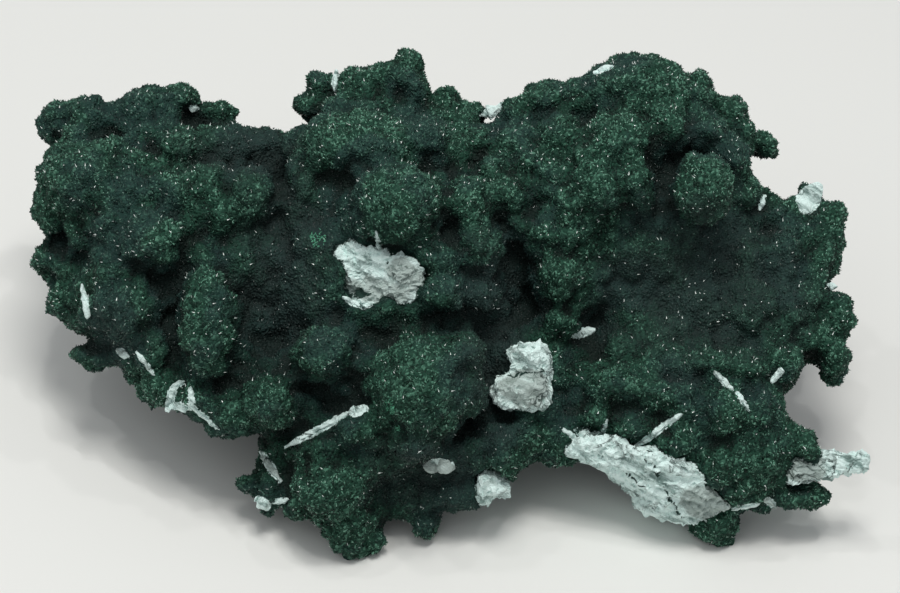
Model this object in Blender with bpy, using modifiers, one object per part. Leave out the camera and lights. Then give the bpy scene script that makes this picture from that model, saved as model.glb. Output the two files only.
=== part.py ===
"""A malachite specimen: a lumpy mass of dark green malachite grown on a pale matrix rock.

Metres, +Z up.  The front of the specimen, the side that is shown, faces -Y and its long way runs
along X.  The specimen is described from where it is looked at, from above its front: each lump has a
place across and up that view and a reach out towards the eye, all in millimetres of real size.
"""
import math
import random

import bmesh
import bpy
import numpy as np
from mathutils import Matrix, Vector

# The view that the lumps are described in.
MM = 0.001
VIEW_PITCH = math.radians(41.3)
VIEW_ROLL = math.radians(5.9)
VIEW_DISTANCE = 930.0
VIEW_CENTRE_HEIGHT = 62.4

# How fine the two solids are.
MALACHITE_VOXEL = 0.0021
MALACHITE_TRIANGLES = 6400
MATRIX_VOXEL = 0.0016
MATRIX_TRIANGLES = 1000
GAP = 0.0004
MATRIX_CLEAR_OF_FLOOR = 0.002

# The small knobs on the lumps, and how much rounder the lumps are made after they are joined.
KNOB_COUNT = 170
BACK_KNOB_COUNT = 90
KNOB_RADIUS = (3.4, 5.6)
SHARPEN_ROUNDS = 16
SHARPEN_STRENGTH = 0.6
SHARPEN_LIMIT = 0.0018

UNROLLED_UP = Vector((0.0, math.sin(VIEW_PITCH), math.cos(VIEW_PITCH)))
RIGHT = Vector((1.0, 0.0, 0.0))
AXIS_ACROSS = RIGHT * math.cos(VIEW_ROLL) + UNROLLED_UP * math.sin(VIEW_ROLL)
AXIS_UP = UNROLLED_UP * math.cos(VIEW_ROLL) - RIGHT * math.sin(VIEW_ROLL)
AXIS_OUT = AXIS_ACROSS.cross(AXIS_UP)
VIEW_AXES = Matrix((AXIS_ACROSS, AXIS_UP, AXIS_OUT)).transposed()


def place(across, up, out):
    """The point in metres that is seen at (across, up) and stands (out) mm towards the eye."""
    nearer = (VIEW_DISTANCE - out) / VIEW_DISTANCE
    point = AXIS_ACROSS * (across * nearer) + AXIS_UP * (up * nearer) + AXIS_OUT * out
    return (point + Vector((0.0, 0.0, VIEW_CENTRE_HEIGHT))) * MM


# Lumps of the malachite: across, up, out at the front of the lump, then half width, half height,
# half depth and the turn in the plane of the view in degrees.
LEFT_LOBE = [
    (-121.0, 54.0, -30, 7.2, 7.8, 10, 0),
    (-112.5, 55.5, -24, 8.0, 7.6, 12, 0),
    (-104.0, 52.5, -27, 8.0, 7.2, 12, 0),
    (-94.0, 56.4, -27, 11.4, 9.0, 14, 10),
    (-84.5, 60.2, -32, 6.7, 6.8, 10, 0),
    (-90.0, 48.5, -18, 13.0, 7.0, 14, 0),
    (-74.0, 56.8, -42, 9.0, 3.8, 7, 3),
    (-68.5, 47.5, -32, 14.0, 6.6, 13, -8),
    (-57.0, 46.0, -34, 9.0, 7.0, 12, 0),
    (-111.0, 34.0, 6, 18.2, 14.4, 28, 0),
    (-107.0, 43.5, -2, 8.0, 6.6, 14, 0),
    (-119.0, 40.5, -8, 8.6, 8.0, 14, 0),
    (-123.0, 28.0, -4, 7.0, 9.6, 14, 0),
    (-114.0, 19.0, -2, 5.0, 6.0, 10, 0),
    (-97.0, 39.0, -2, 7.5, 7.0, 13, 0),
    (-85.0, 45.0, -4, 6.6, 6.2, 12, 0),
    (-89.0, 33.0, 5, 9.0, 8.5, 16, 0),
    (-74.5, 33.5, 6, 8.5, 8.5, 15, 0),
    (-61.8, 31.0, 10, 8.0, 10.0, 15, 0),
    (-70.0, 24.5, 8, 8.5, 7.5, 14, 0),
    (-91.0, 17.0, 20, 13.4, 11.4, 22, 0),
    (-104.0, 22.0, 8, 8.6, 9.0, 16, 0),
    (-103.0, 8.0, 13, 9.4, 9.4, 17, 0),
    (-98.0, -3.5, 18, 13.4, 12.6, 21, 0),
    (-108.5, -5.0, 9, 6.8, 9.0, 14, 0),
    (-124.8, 11.2, -9, 5.7, 6.2, 8, 0),
    (-118.0, 9.0, -8, 7.2, 7.2, 11, 0),
    (-112.5, 1.0, -2, 6.0, 9.0, 10, 0),
    (-118.5, -1.0, -8, 6.8, 7.0, 11, 0),
    (-113.5, -7.0, -4, 5.5, 5.5, 9, 0),
    (-110.0, -18.4, 0, 7.6, 4.2, 7, -4),
    (-102.5, -17.0, 3, 5.5, 4.5, 8, 0),
    (-98.0, -22.0, 5, 4.5, 7.5, 9, 28),
    (-92.0, -30.0, 6, 4.2, 4.6, 8, 0),
    (-91.0, -16.0, 13, 9.0, 12.0, 16, 0),
    (-84.5, -19.0, 8, 8.0, 10.0, 14, 0),
    (-75.0, -8.0, 29, 9.6, 17.6, 18, 3),
    (-88.0, -28.5, 12, 7.5, 6.0, 13, 0),
    (-78.0, -30.0, 17, 9.0, 8.4, 15, -18),
    (-69.5, -36.0, 19, 8.0, 7.8, 14, -20),
    (-62.0, 8.0, -8, 12.0, 17.0, 16, 0),
    (-61.0, -9.0, 0, 11.0, 13.0, 16, 0),
]

MIDDLE = [
    (-45.6, 60.4, -42, 3.6, 3.8, 5, 0),
    (-40.4, 65.4, -40, 4.2, 5.0, 6, 0),
    (-42.0, 58.5, -38, 5.5, 5.0, 8, 0),
    (-32.6, 65.6, -36, 4.8, 5.2, 8, 0),
    (-25.0, 64.5, -28, 8.6, 8.6, 12, 0),
    (-27.0, 56.5, -22, 15.0, 7.5, 14, 0),
    (-14.5, 66.0, -26, 7.6, 8.8, 12, 0),
    (-13.2, 71.2, -30, 5.2, 5.8, 8, 0),
    (-10.5, 63.5, -26, 4.6, 8.0, 10, 0),
    (-1.4, 60.4, -38, 4.8, 5.6, 9, 0),
    (5.5, 56.8, -40, 6.8, 4.4, 9, -12),
    (1.0, 51.0, -28, 10.0, 7.5, 14, 0),
    (-27.5, 44.0, 6, 23.0, 14.6, 28, -3),
    (-44.0, 45.0, -12, 9.0, 9.0, 16, 20),
    (-9.0, 46.5, -4, 9.5, 8.6, 16, 0),
    (-16.5, 27.5, 28, 15.6, 14.4, 25, 0),
    (-27.0, 24.0, 16, 6.0, 8.5, 14, 0),
    (5.0, 27.5, 14, 8.6, 10.5, 17, 0),
    (8.8, 14.5, 17, 8.2, 9.4, 17, 0),
    (-3.0, 12.0, 18, 8.0, 7.0, 14, 0),
    (-2.0, 1.0, 20, 8.8, 7.4, 15, 0),
    (9.0, 0.5, 13, 7.0, 6.5, 13, 0),
    (-46.0, 31.0, 0, 7.0, 16.0, 14, -8),
    (-42.0, 13.0, 7, 8.5, 14.0, 15, 0),
    (-48.0, -3.0, 2, 10.0, 11.0, 15, 0),
    (-30.0, -6.5, 3, 13.0, 7.0, 13, 0),
    (-12.0, -9.0, 7, 11.0, 6.0, 13, 0),
    (-38.5, -18.0, 29, 10.6, 8.6, 17, 0),
    (-43.0, -34.0, 14, 11.0, 10.0, 17, 0),
    (-65.0, -24.0, 11, 12.0, 12.0, 16, 0),
    (-50.0, -21.0, 9, 8.0, 8.0, 18, 0),
    (-31.0, -29.5, 15, 8.0, 7.0, 18, 0),
    (-55.0, -32.0, 28, 9.8, 9.0, 17, 0),
    (-64.0, -37.5, 19, 5.6, 6.0, 12, 0),
    (-8.5, -28.0, 38, 16.4, 17.4, 28, 0),
    (4.4, -18.5, 29, 6.4, 7.4, 14, 0),
    (6.2, -29.0, 26, 5.2, 8.0, 13, 0),
    (-23.0, -24.0, 25, 6.4, 8.0, 15, 0),
    (-27.0, -40.5, 25, 10.0, 8.4, 17, 20),
    (-11.0, -45.0, 29, 10.0, 6.8, 17, 0),
    (-41.5, -46.5, 19, 8.5, 6.5, 14, 20),
    (-52.5, -45.0, 9, 7.5, 7.0, 14, 0),
    (-20.0, -49.0, 15, 11.0, 9.0, 18, 0),
    (-37.0, -58.5, 25, 13.0, 11.4, 20, 0),
    (-47.0, -64.0, 14, 5.0, 5.4, 10, 0),
    (-26.5, -52.5, 19, 7.0, 7.0, 15, 0),
    (-31.0, -69.5, 14, 9.0, 9.0, 11, 0),
    (-31.0, -75.5, 8, 6.4, 6.4, 7, 0),
    (-24.8, -74.4, 5, 4.6, 5.6, 6, 0),
    (-56.0, -58.4, 8, 4.8, 4.6, 7, 0),
    (-58.0, -54.0, 4, 3.4, 3.8, 6, 0),
    (-63.0, -59.0, 6, 3.4, 3.2, 5, 0),
    (-57.0, -64.0, 6, 3.8, 3.4, 7, 0),
    (-50.0, -56.0, 6, 6.0, 8.0, 11, 0),
    (-13.0, -58.0, 5, 14.0, 10.4, 12, 0),
    (-19.0, -65.5, 3, 5.2, 6.0, 7, 0),
    (-7.5, -69.6, 1, 5.0, 5.0, 6, 0),
    (0.0, -59.0, 7, 8.0, 8.4, 11, 0),
    (-2.0, -49.0, 16, 8.0, 7.0, 15, 0),
    (7.0, -49.0, 12, 8.0, 9.6, 16, 0),
    (17.4, -51.5, 9, 5.6, 6.4, 12, 0),
    (5.0, -60.0, 5, 5.6, 6.6, 10, 0),
    (11.5, -50.5, 10, 7.0, 5.6, 12, 0),
    (15.0, -47.0, 15, 8.0, 9.8, 17, 0),
    (22.0, -41.5, 8, 8.0, 10.5, 16, 0),
    (20.0, -22.0, 5, 9.0, 16.0, 16, 0),
]

RIGHT_LOBE = [
    (21.5, 54.0, -26, 8.0, 8.6, 14, 0),
    (31.0, 59.5, -24, 10.0, 8.2, 15, 0),
    (43.0, 61.0, -24, 8.0, 8.6, 14, 0),
    (58.5, 60.5, -14, 20.5, 15.4, 27, -4),
    (76.0, 61.0, -24, 7.2, 9.4, 15, 0),
    (86.6, 56.0, -31, 6.6, 7.0, 12, 0),
    (90.4, 49.0, -30, 5.6, 8.0, 13, 0),
    (78.0, 50.0, -12, 9.0, 8.0, 16, 0),
    (96.8, 46.8, -37, 5.0, 4.6, 8, 0),
    (11.0, 46.0, -16, 7.0, 8.0, 14, 0),
    (21.0, 45.5, -11, 9.0, 8.4, 15, 0),
    (25.5, 40.5, -3, 6.4, 6.2, 12, 0),
    (34.5, 48.5, -5, 8.4, 9.0, 17, 0),
    (41.0, 42.5, 2, 6.0, 6.6, 12, 0),
    (52.0, 46.0, 4, 13.6, 12.0, 24, 0),
    (66.5, 51.0, -4, 8.6, 9.0, 17, 0),
    (45.0, 33.0, 12, 11.6, 11.0, 22, 0),
    (57.5, 34.0, 8, 6.6, 9.0, 16, 0),
    (32.5, 33.5, 1, 7.6, 8.4, 15, 0),
    (36.0, 27.0, 6, 5.6, 6.0, 11, 0),
    (18.5, 31.0, 5, 7.2, 8.6, 15, 0),
    (14.0, 38.5, -4, 6.0, 6.6, 12, 0),
    (21.5, 22.0, 2, 5.4, 6.4, 11, 0),
    (78.3, 33.4, 14, 9.4, 11.4, 14, 0),
    (86.5, 41.0, -12, 6.8, 9.0, 15, 0),
    (90.0, 31.0, -18, 6.8, 9.0, 13, 0),
    (28.5, 19.0, 7, 8.6, 8.8, 16, 0),
    (38.5, 20.0, 3, 9.0, 9.0, 16, 0),
    (33.0, 6.5, 8, 9.0, 9.6, 17, 0),
    (43.0, 5.0, -4, 9.0, 11.0, 15, 0),
    (49.0, 20.0, -5, 9.0, 10.0, 15, 0),
    (34.0, -7.0, 1, 8.0, 8.0, 14, 0),
    (58.0, 14.0, -14, 14.0, 13.0, 14, 0),
    (74.0, 12.0, -12, 13.0, 12.0, 14, 0),
    (90.0, 12.0, -13, 11.0, 11.0, 14, 0),
    (58.0, -4.0, -10, 14.0, 12.0, 14, 0),
    (76.0, -4.0, -8, 14.0, 12.0, 14, 0),
    (93.0, -4.0, -7, 11.0, 13.0, 14, 0),
    (103.0, 11.0, -14, 7.5, 11.5, 14, 0),
    (105.0, -6.0, -10, 6.5, 12.0, 14, 0),
    (99.0, 25.6, -28, 7.4, 5.6, 10, 0),
    (106.0, 26.5, -32, 4.6, 5.2, 8, 20),
    (107.0, 21.0, -25, 5.4, 5.4, 10, 0),
    (97.4, 31.2, -32, 3.0, 3.2, 6, 0),
    (111.6, 29.2, -36, 4.8, 6.6, 8, 10),
    (116.5, 20.0, -22, 6.4, 8.8, 9, 0),
    (119.2, 25.2, -25, 3.8, 5.4, 7, 0),
    (114.5, 11.0, -20, 7.0, 8.0, 11, 0),
    (112.0, 0.0, -15, 5.8, 9.0, 10, 0),
    (120.6, -6.0, -16, 5.2, 7.8, 8, 0),
    (118.8, -18.8, -13, 5.4, 8.4, 9, 0),
    (113.0, -13.0, -13, 5.8, 7.5, 9, 0),
    (101.0, -20.0, -4, 9.0, 11.0, 16, 0),
]

LOWER_RIGHT = [
    (79.0, -21.0, 5, 12.0, 7.2, 16, -8),
    (91.0, -23.0, 5, 8.0, 7.5, 15, 0),
    (50.0, -27.0, 9, 9.0, 7.0, 15, 10),
    (62.0, -29.5, 11, 9.5, 6.8, 16, -14),
    (72.0, -32.0, 10, 8.0, 8.0, 15, 0),
    (45.0, -37.0, 5, 8.0, 8.0, 15, 0),
    (57.0, -40.0, 8, 10.0, 7.5, 15, 0),
    (34.0, -42.0, 3, 8.5, 9.0, 14, 0),
    (34.0, -47.0, 1, 12.0, 5.6, 11, 0),
    (28.0, -34.0, 3, 8.0, 9.0, 14, 0),
    (70.0, -45.0, 10, 9.0, 9.0, 16, 0),
    (84.0, -36.0, 12, 11.0, 11.0, 20, 0),
    (95.0, -36.0, 7, 9.0, 11.0, 16, 0),
    (84.0, -51.0, 10, 11.0, 10.0, 19, 0),
    (96.0, -50.0, 8, 9.5, 11.0, 17, 0),
    (88.0, -60.0, 3, 9.0, 6.5, 15, 0),
    (104.0, -44.0, 3, 6.5, 6.0, 12, 0),
    (109.5, -46.4, 3, 5.8, 4.8, 9, -30),
    (104.0, -61.6, -4, 9.5, 4.8, 8, 0),
    (112.0, -61.4, -5, 5.4, 3.8, 6, -8),
    (96.0, -63.0, -4, 5.5, 4.4, 9, 0),
    (82.0, -70.0, -6, 7.6, 6.6, 9, 0),
    (83.0, -73.5, -11, 5.6, 5.4, 7, 0),
]

# The body that the lumps grow on, and the lumps low at the back that it rests on, where they are in
# the room: x, y, z of the centre and the half sizes along x, y and z.
BODY = [
    (-80.0, 20.0, 55.0, 36.0, 30.0, 22.0),
    (-20.0, 27.0, 50.0, 46.0, 46.0, 36.0),
    (52.0, 46.0, 56.0, 46.0, 33.0, 34.0),
    (72.0, 8.0, 34.0, 34.0, 30.0, 22.0),
    (20.0, 8.0, 32.0, 36.0, 30.0, 22.0),
    (-62.0, 46.0, 22.0, 22.0, 18.0, 22.0),
    (58.0, 58.0, 24.0, 24.0, 20.0, 24.0),
    (-18.0, 46.0, 78.0, 22.0, 26.0, 12.0),
]
BACK_LUMPS = [
    (-68.0, 52.0, 12.0, 13.0, 12.0, 13.2),
    (-50.0, 58.0, 30.0, 16.0, 13.0, 14.0),
    (-86.0, 44.0, 40.0, 16.0, 14.0, 15.0),
    (-98.0, 40.0, 58.0, 15.0, 13.0, 13.0),
    (-30.0, 66.0, 48.0, 18.0, 13.0, 16.0),
    (-8.0, 68.0, 34.0, 16.0, 12.0, 15.0),
    (-12.0, 66.0, 66.0, 17.0, 13.0, 14.0),
    (14.0, 70.0, 52.0, 17.0, 12.0, 16.0),
    (18.0, 62.0, 28.0, 15.0, 12.0, 14.0),
    (38.0, 74.0, 40.0, 16.0, 12.0, 16.0),
    (40.0, 76.0, 66.0, 18.0, 12.0, 14.0),
    (62.0, 68.0, 14.0, 13.5, 12.0, 15.2),
    (66.0, 74.0, 56.0, 17.0, 12.0, 17.0),
    (84.0, 60.0, 40.0, 15.0, 14.0, 16.0),
    (88.0, 52.0, 64.0, 13.0, 14.0, 14.0),
    (102.0, 38.0, 50.0, 11.0, 14.0, 14.0),
    (-60.0, 56.0, 54.0, 18.0, 12.0, 14.0),
    (-80.0, 50.0, 66.0, 15.0, 11.0, 11.0),
]

# The pale matrix, seen where the malachite has broken away: its broad broken face low on the right,
# two smaller broken faces in the middle, rough lumps on and between them, and a splinter that points
# out past the right end.  A face is an outline of corners across, up and out.
MATRIX_FACE = [
    (35.0, -48.0, 4),
    (41.0, -43.5, 6),
    (46.0, -44.5, 6),
    (51.0, -43.0, 7),
    (57.0, -48.0, 8),
    (63.0, -47.0, 9),
    (70.0, -51.0, 9),
    (78.5, -53.0, 7),
    (80.0, -60.0, 3),
    (87.0, -65.0, -2),
    (81.0, -68.5, -6),
    (74.0, -70.5, -8),
    (66.0, -69.0, -8),
    (60.5, -66.5, -6),
    (57.0, -61.0, -3),
    (51.0, -56.0, -1),
    (46.0, -52.5, 1),
    (40.0, -50.5, 2),
]
MATRIX_FACE_DEPTH = 22.0
MATRIX_PATCHES = [
    [
        (-36.5, 17.0, 6), (-32.0, 18.6, 8), (-27.0, 17.6, 10), (-22.0, 15.0, 12), (-18.0, 12.0, 13),
        (-12.0, 12.0, 14), (-7.6, 9.0, 14), (-7.6, 1.4, 13), (-12.4, -2.6, 12), (-20.0, -3.0, 11),
        (-27.4, -5.2, 8), (-34.6, -0.6, 6), (-32.6, 4.6, 8), (-34.4, 10.4, 8), (-37.0, 14.0, 6),
    ],
    [
        (19.0, -18.6, 10), (21.2, -14.8, 11), (28.4, -14.6, 11), (31.2, -18.6, 9), (30.8, -33.6, 10),
        (22.0, -35.4, 13), (13.6, -32.2, 12), (14.4, -27.0, 12), (18.6, -24.0, 9),
    ],
]
MATRIX_PATCH_DEPTH = 19.0
MATRIX_LUMPS = [
    (64.0, -56.0, 4, 14.0, 8.0, 14, -28),
    (92.0, -54.0, -6, 24.0, 6.5, 11, 0),
    (107.0, -54.4, -2, 7.5, 3.4, 6, 0),
    (40.0, -43.0, 0, 16.0, 6.5, 10, 0),
    (24.0, -36.0, 2, 10.0, 9.0, 12, 0),
    (25.0, -18.6, 13, 4.6, 3.6, 7, 0),
    (20.5, -29.0, 15, 6.0, 4.0, 8, 0),
    (27.0, -28.0, 13, 3.6, 4.6, 7, 0),
    (14.0, -46.0, -2, 6.0, 13.0, 8, 0),
    (12.4, -57.6, 9, 4.6, 4.4, 9, 0),
    (15.4, -59.2, 7, 3.4, 2.6, 7, -20),
    (10.4, -61.2, 7, 2.4, 3.8, 7, 10),
    (10.0, -16.0, -4, 16.0, 10.0, 11, 0),
    (-6.0, -4.0, 1, 14.0, 9.0, 12, 0),
    (-15.0, 1.0, 8, 10.0, 8.0, 18, 0),
    (-26.0, 8.0, 11, 5.0, 6.0, 10, 0),
    (-15.0, 6.0, 16, 4.6, 5.0, 10, 0),
]
SPLINTER_CENTRE = (118.0, -52.2, -4)
SPLINTER_SIZE = (24.0, 6.6, 4.6)
SPLINTER_TURN = 2.0

# Openings in the malachite in front of those parts, as corners across and up.
WINDOWS = {
    "broken face window": [
        (33.0, -48.6), (40.0, -44.6), (45.4, -46.0), (50.6, -41.6), (52.0, -46.4), (57.0, -49.4),
        (63.0, -46.4), (69.0, -52.2), (78.6, -53.4), (78.6, -60.0), (88.0, -65.0), (88.0, -72.0),
        (80.0, -67.0), (76.0, -70.0), (74.0, -80.0), (56.0, -80.0), (44.0, -60.0), (36.0, -52.0),
    ],
    "middle window": [
        (-35.0, 17.0), (-28.0, 16.4), (-23.0, 13.6), (-20.0, 10.6), (-13.0, 10.4), (-9.0, 8.0),
        (-9.0, 2.0), (-13.0, -1.4), (-20.0, -1.6), (-27.0, -3.8), (-33.0, 0.2), (-31.0, 4.6),
        (-33.0, 10.4), (-35.4, 14.0),
    ],
    "valley window": [
        (20.0, -19.0), (22.0, -15.4), (28.0, -15.4), (30.2, -19.0), (29.8, -33.0), (22.0, -34.4),
        (14.6, -31.8), (15.6, -27.4), (19.6, -24.4),
    ],
    "low window": [
        (8.6, -57.0), (10.0, -53.6), (15.8, -53.4), (18.2, -58.4), (15.0, -62.0), (9.4, -64.4),
    ],
}


def clear_scene():
    """Start from an empty scene."""
    for item in list(bpy.data.objects):
        bpy.data.objects.remove(item, do_unlink=True)
    for mesh in list(bpy.data.meshes):
        bpy.data.meshes.remove(mesh)


def new_collection(name):
    """A collection of this name in the scene."""
    made = bpy.data.collections.new(name)
    bpy.context.scene.collection.children.link(made)
    return made


def new_object(name, bm, collection):
    """An object of this name that takes the mesh in bm."""
    bmesh.ops.recalc_face_normals(bm, faces=bm.faces)
    mesh = bpy.data.meshes.new(name)
    bm.to_mesh(mesh)
    bm.free()
    made = bpy.data.objects.new(name, mesh)
    collection.objects.link(made)
    return made


def view_matrix(across, up, out, half_sizes, turn):
    """Where a unit ball goes to be the ellipsoid of these half sizes at this place in the view."""
    scale = Matrix.Diagonal([half * MM for half in half_sizes]).to_4x4()
    spin = Matrix.Rotation(math.radians(turn), 4, "Z")
    move = Matrix.Translation(place(across, up, out))
    return move @ VIEW_AXES.to_4x4() @ spin @ scale


def add_view_lumps(bm, lumps):
    """Ellipsoids whose front stands at the given reach towards the eye."""
    for across, up, front, half_across, half_up, half_out, turn in lumps:
        matrix = view_matrix(across, up, front - half_out, (half_across, half_up, half_out), turn)
        bmesh.ops.create_icosphere(bm, subdivisions=3, radius=1.0, matrix=matrix)


def add_room_lumps(bm, lumps):
    """Ellipsoids placed by x, y and z."""
    for x, y, z, half_x, half_y, half_z in lumps:
        move = Matrix.Translation(Vector((x, y, z)) * MM)
        scale = Matrix.Diagonal([half_x * MM, half_y * MM, half_z * MM]).to_4x4()
        bmesh.ops.create_icosphere(bm, subdivisions=3, radius=1.0, matrix=move @ scale)


def add_slab(bm, outline, depth):
    """A slab whose face has this outline and goes this many mm back from it."""
    corners = [bm.verts.new(place(across, up, out)) for across, up, out in outline]
    face = bm.faces.new(corners)
    grown = bmesh.ops.extrude_face_region(bm, geom=[face])
    for element in grown["geom"]:
        if isinstance(element, bmesh.types.BMVert):
            element.co -= AXIS_OUT * (depth * MM)
    bmesh.ops.triangulate(bm, faces=[f for f in bm.faces if len(f.verts) > 4])


def grow_together(item, voxel):
    """Join overlapping shapes to one closed skin of even faces."""
    remesh = item.modifiers.new("Grown together", "REMESH")
    remesh.mode = "VOXEL"
    remesh.voxel_size = voxel
    settle(item)


def sharpen(item, rounds, strength, limit):
    """Move the skin away from its own average, so that lumps are rounder and creases deeper."""
    mesh = item.data
    count = len(mesh.vertices)
    corners = np.empty(count * 3)
    mesh.vertices.foreach_get("co", corners)
    corners = corners.reshape(-1, 3)
    outward = np.empty(count * 3)
    mesh.vertex_normals.foreach_get("vector", outward)
    outward = outward.reshape(-1, 3)
    pairs = np.empty(len(mesh.edges) * 2, dtype=np.int32)
    mesh.edges.foreach_get("vertices", pairs)
    pairs = pairs.reshape(-1, 2)
    start = np.concatenate((pairs[:, 0], pairs[:, 1]))
    end = np.concatenate((pairs[:, 1], pairs[:, 0]))
    neighbours = np.maximum(np.bincount(start, minlength=count), 1)
    average = corners.copy()
    for step in range(rounds):
        for axis in range(3):
            near = np.bincount(start, weights=average[end, axis], minlength=count) / neighbours
            average[:, axis] += (near - average[:, axis]) * 0.5
    relief = ((corners - average) * outward).sum(axis=1)
    amount = np.clip(relief * strength, -limit, limit * 0.5)
    corners += outward * amount[:, None]
    mesh.vertices.foreach_set("co", corners.ravel())
    mesh.update()


def facet(item, triangles):
    """Thin the skin to about this many triangles."""
    bm = bmesh.new()
    bm.from_mesh(item.data)
    bmesh.ops.triangulate(bm, faces=bm.faces)
    count = len(bm.faces)
    bm.to_mesh(item.data)
    bm.free()
    thin = item.modifiers.new("Facets", "DECIMATE")
    thin.ratio = triangles / count
    settle(item)


def keep_largest(item):
    """Drop loose chips and keep the largest connected body."""
    bm = bmesh.new()
    bm.from_mesh(item.data)
    left = set(bm.verts)
    bodies = []
    while left:
        seed = next(iter(left))
        body = {seed}
        stack = [seed]
        while stack:
            vert = stack.pop()
            for edge in vert.link_edges:
                other = edge.other_vert(vert)
                if other not in body:
                    body.add(other)
                    stack.append(other)
        bodies.append(body)
        left -= body
    bodies.sort(key=len, reverse=True)
    for body in bodies[1:]:
        bmesh.ops.delete(bm, geom=list(body), context="VERTS")
    bm.to_mesh(item.data)
    bm.free()


def prism(name, outline, near, far, collection):
    """A solid with this outline in the view, from one reach to another towards the eye."""
    bm = bmesh.new()
    back = [bm.verts.new(place(across, up, far)) for across, up in outline]
    face = bm.faces.new(back)
    grown = bmesh.ops.extrude_face_region(bm, geom=[face])
    front = [item for item in grown["geom"] if isinstance(item, bmesh.types.BMVert)]
    for vert in front:
        vert.co += AXIS_OUT * ((near - far) * MM)
    bmesh.ops.triangulate(bm, faces=[f for f in bm.faces if len(f.verts) > 4])
    return new_object(name, bm, collection)


def cut(item, cutter):
    """Take the cutter's shape out of the item."""
    tool = item.modifiers.new("Cut by " + cutter.name, "BOOLEAN")
    tool.operation = "DIFFERENCE"
    tool.solver = "EXACT"
    tool.object = cutter


def floor_block(name, top, collection):
    """A wide block whose top is level and lies at this height."""
    bm = bmesh.new()
    centre = Matrix.Translation((0.0, 0.0, top - 0.05))
    bmesh.ops.create_cube(bm, size=1.0, matrix=centre @ Matrix.Diagonal((0.5, 0.5, 0.1, 1.0)))
    return new_object(name, bm, collection)


def settle(item):
    """Make what the modifiers give the item's own mesh."""
    graph = bpy.context.evaluated_depsgraph_get()
    graph.update()
    result = bpy.data.meshes.new_from_object(item.evaluated_get(graph))
    item.modifiers.clear()
    item.data = result


def stone(name, colour, roughness):
    """A plain material of one colour."""
    made = bpy.data.materials.new(name)
    made.use_nodes = True
    shader = made.node_tree.nodes["Principled BSDF"]
    shader.inputs["Base Color"].default_value = (*colour, 1.0)
    shader.inputs["Roughness"].default_value = roughness
    made.diffuse_color = (*colour, 1.0)
    return made


clear_scene()
parts = new_collection("Malachite specimen")
cutters = new_collection("Cutters")

# The matrix: slabs behind its broken faces, rounded lumps where it shows elsewhere, and the splinter.
rock = bmesh.new()
add_slab(rock, MATRIX_FACE, MATRIX_FACE_DEPTH)
for outline in MATRIX_PATCHES:
    add_slab(rock, outline, MATRIX_PATCH_DEPTH)
add_view_lumps(rock, MATRIX_LUMPS)
splinter_place = view_matrix(*SPLINTER_CENTRE, SPLINTER_SIZE, SPLINTER_TURN)
bmesh.ops.create_cube(rock, size=1.0, matrix=splinter_place)
matrix_rock = new_object("matrix", rock, parts)
grow_together(matrix_rock, MATRIX_VOXEL)
facet(matrix_rock, MATRIX_TRIANGLES)
cut(matrix_rock, floor_block("matrix clearance", MATRIX_CLEAR_OF_FLOOR, cutters))
settle(matrix_rock)
keep_largest(matrix_rock)

# The malachite: the body, every lump that can be told apart, and small knobs all over them.
growth = bmesh.new()
add_room_lumps(growth, BODY)
add_room_lumps(growth, BACK_LUMPS)
VIEW_LUMPS = LEFT_LOBE + MIDDLE + RIGHT_LOBE + LOWER_RIGHT
add_view_lumps(growth, VIEW_LUMPS)
dice = random.Random(7)
for number in range(KNOB_COUNT):
    across, up, front_out, half_across, half_up, half_out, turn = dice.choice(VIEW_LUMPS)
    angle = dice.uniform(0.0, 2.0 * math.pi)
    lean = dice.uniform(0.1, 1.0) ** 0.5
    side_across = math.cos(angle) * lean
    side_up = math.sin(angle) * lean
    side_out = math.sqrt(max(0.0, 1.0 - lean * lean))
    radius = dice.uniform(*KNOB_RADIUS)
    seat = 0.86
    knob_place = view_matrix(
        across + side_across * (half_across - radius * 0.8) * seat,
        up + side_up * (half_up - radius * 0.8) * seat,
        front_out - half_out + side_out * (half_out - radius * 0.5) * seat,
        (radius, radius, radius),
        0.0,
    )
    bmesh.ops.create_icosphere(growth, subdivisions=2, radius=1.0, matrix=knob_place)
for number in range(BACK_KNOB_COUNT):
    x, y, z, half_x, half_y, half_z = dice.choice(BACK_LUMPS)
    way = Vector((dice.uniform(-1.0, 1.0), dice.uniform(-0.2, 1.0), dice.uniform(-0.8, 1.0)))
    way.normalize()
    radius = dice.uniform(*KNOB_RADIUS) + 0.6
    knob = (x + way.x * half_x, y + way.y * half_y, z + way.z * half_z, radius, radius, radius)
    add_room_lumps(growth, [knob])
malachite = new_object("malachite", growth, parts)
grow_together(malachite, MALACHITE_VOXEL)
sharpen(malachite, SHARPEN_ROUNDS, SHARPEN_STRENGTH, SHARPEN_LIMIT)
grow_together(malachite, MALACHITE_VOXEL)
facet(malachite, MALACHITE_TRIANGLES)
keep_largest(malachite)

# The matrix lies in the malachite with a hair of clearance, and shows through the openings.
swollen = bmesh.new()
swollen.from_mesh(matrix_rock.data)
bmesh.ops.recalc_face_normals(swollen, faces=swollen.faces)
for vert in swollen.verts:
    vert.co += vert.normal * (GAP * min(vert.calc_shell_factor(), 2.0))
bed = new_object("matrix bed", swollen, cutters)
cut(malachite, bed)
for name, outline in WINDOWS.items():
    cut(malachite, prism(name, outline, 70.0, -4.0, cutters))
settle(malachite)

# The lowest lumps are flat where the specimen stands, on the floor at height zero.
cut(malachite, floor_block("floor level", 0.0, cutters))
settle(malachite)
keep_largest(malachite)

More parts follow.
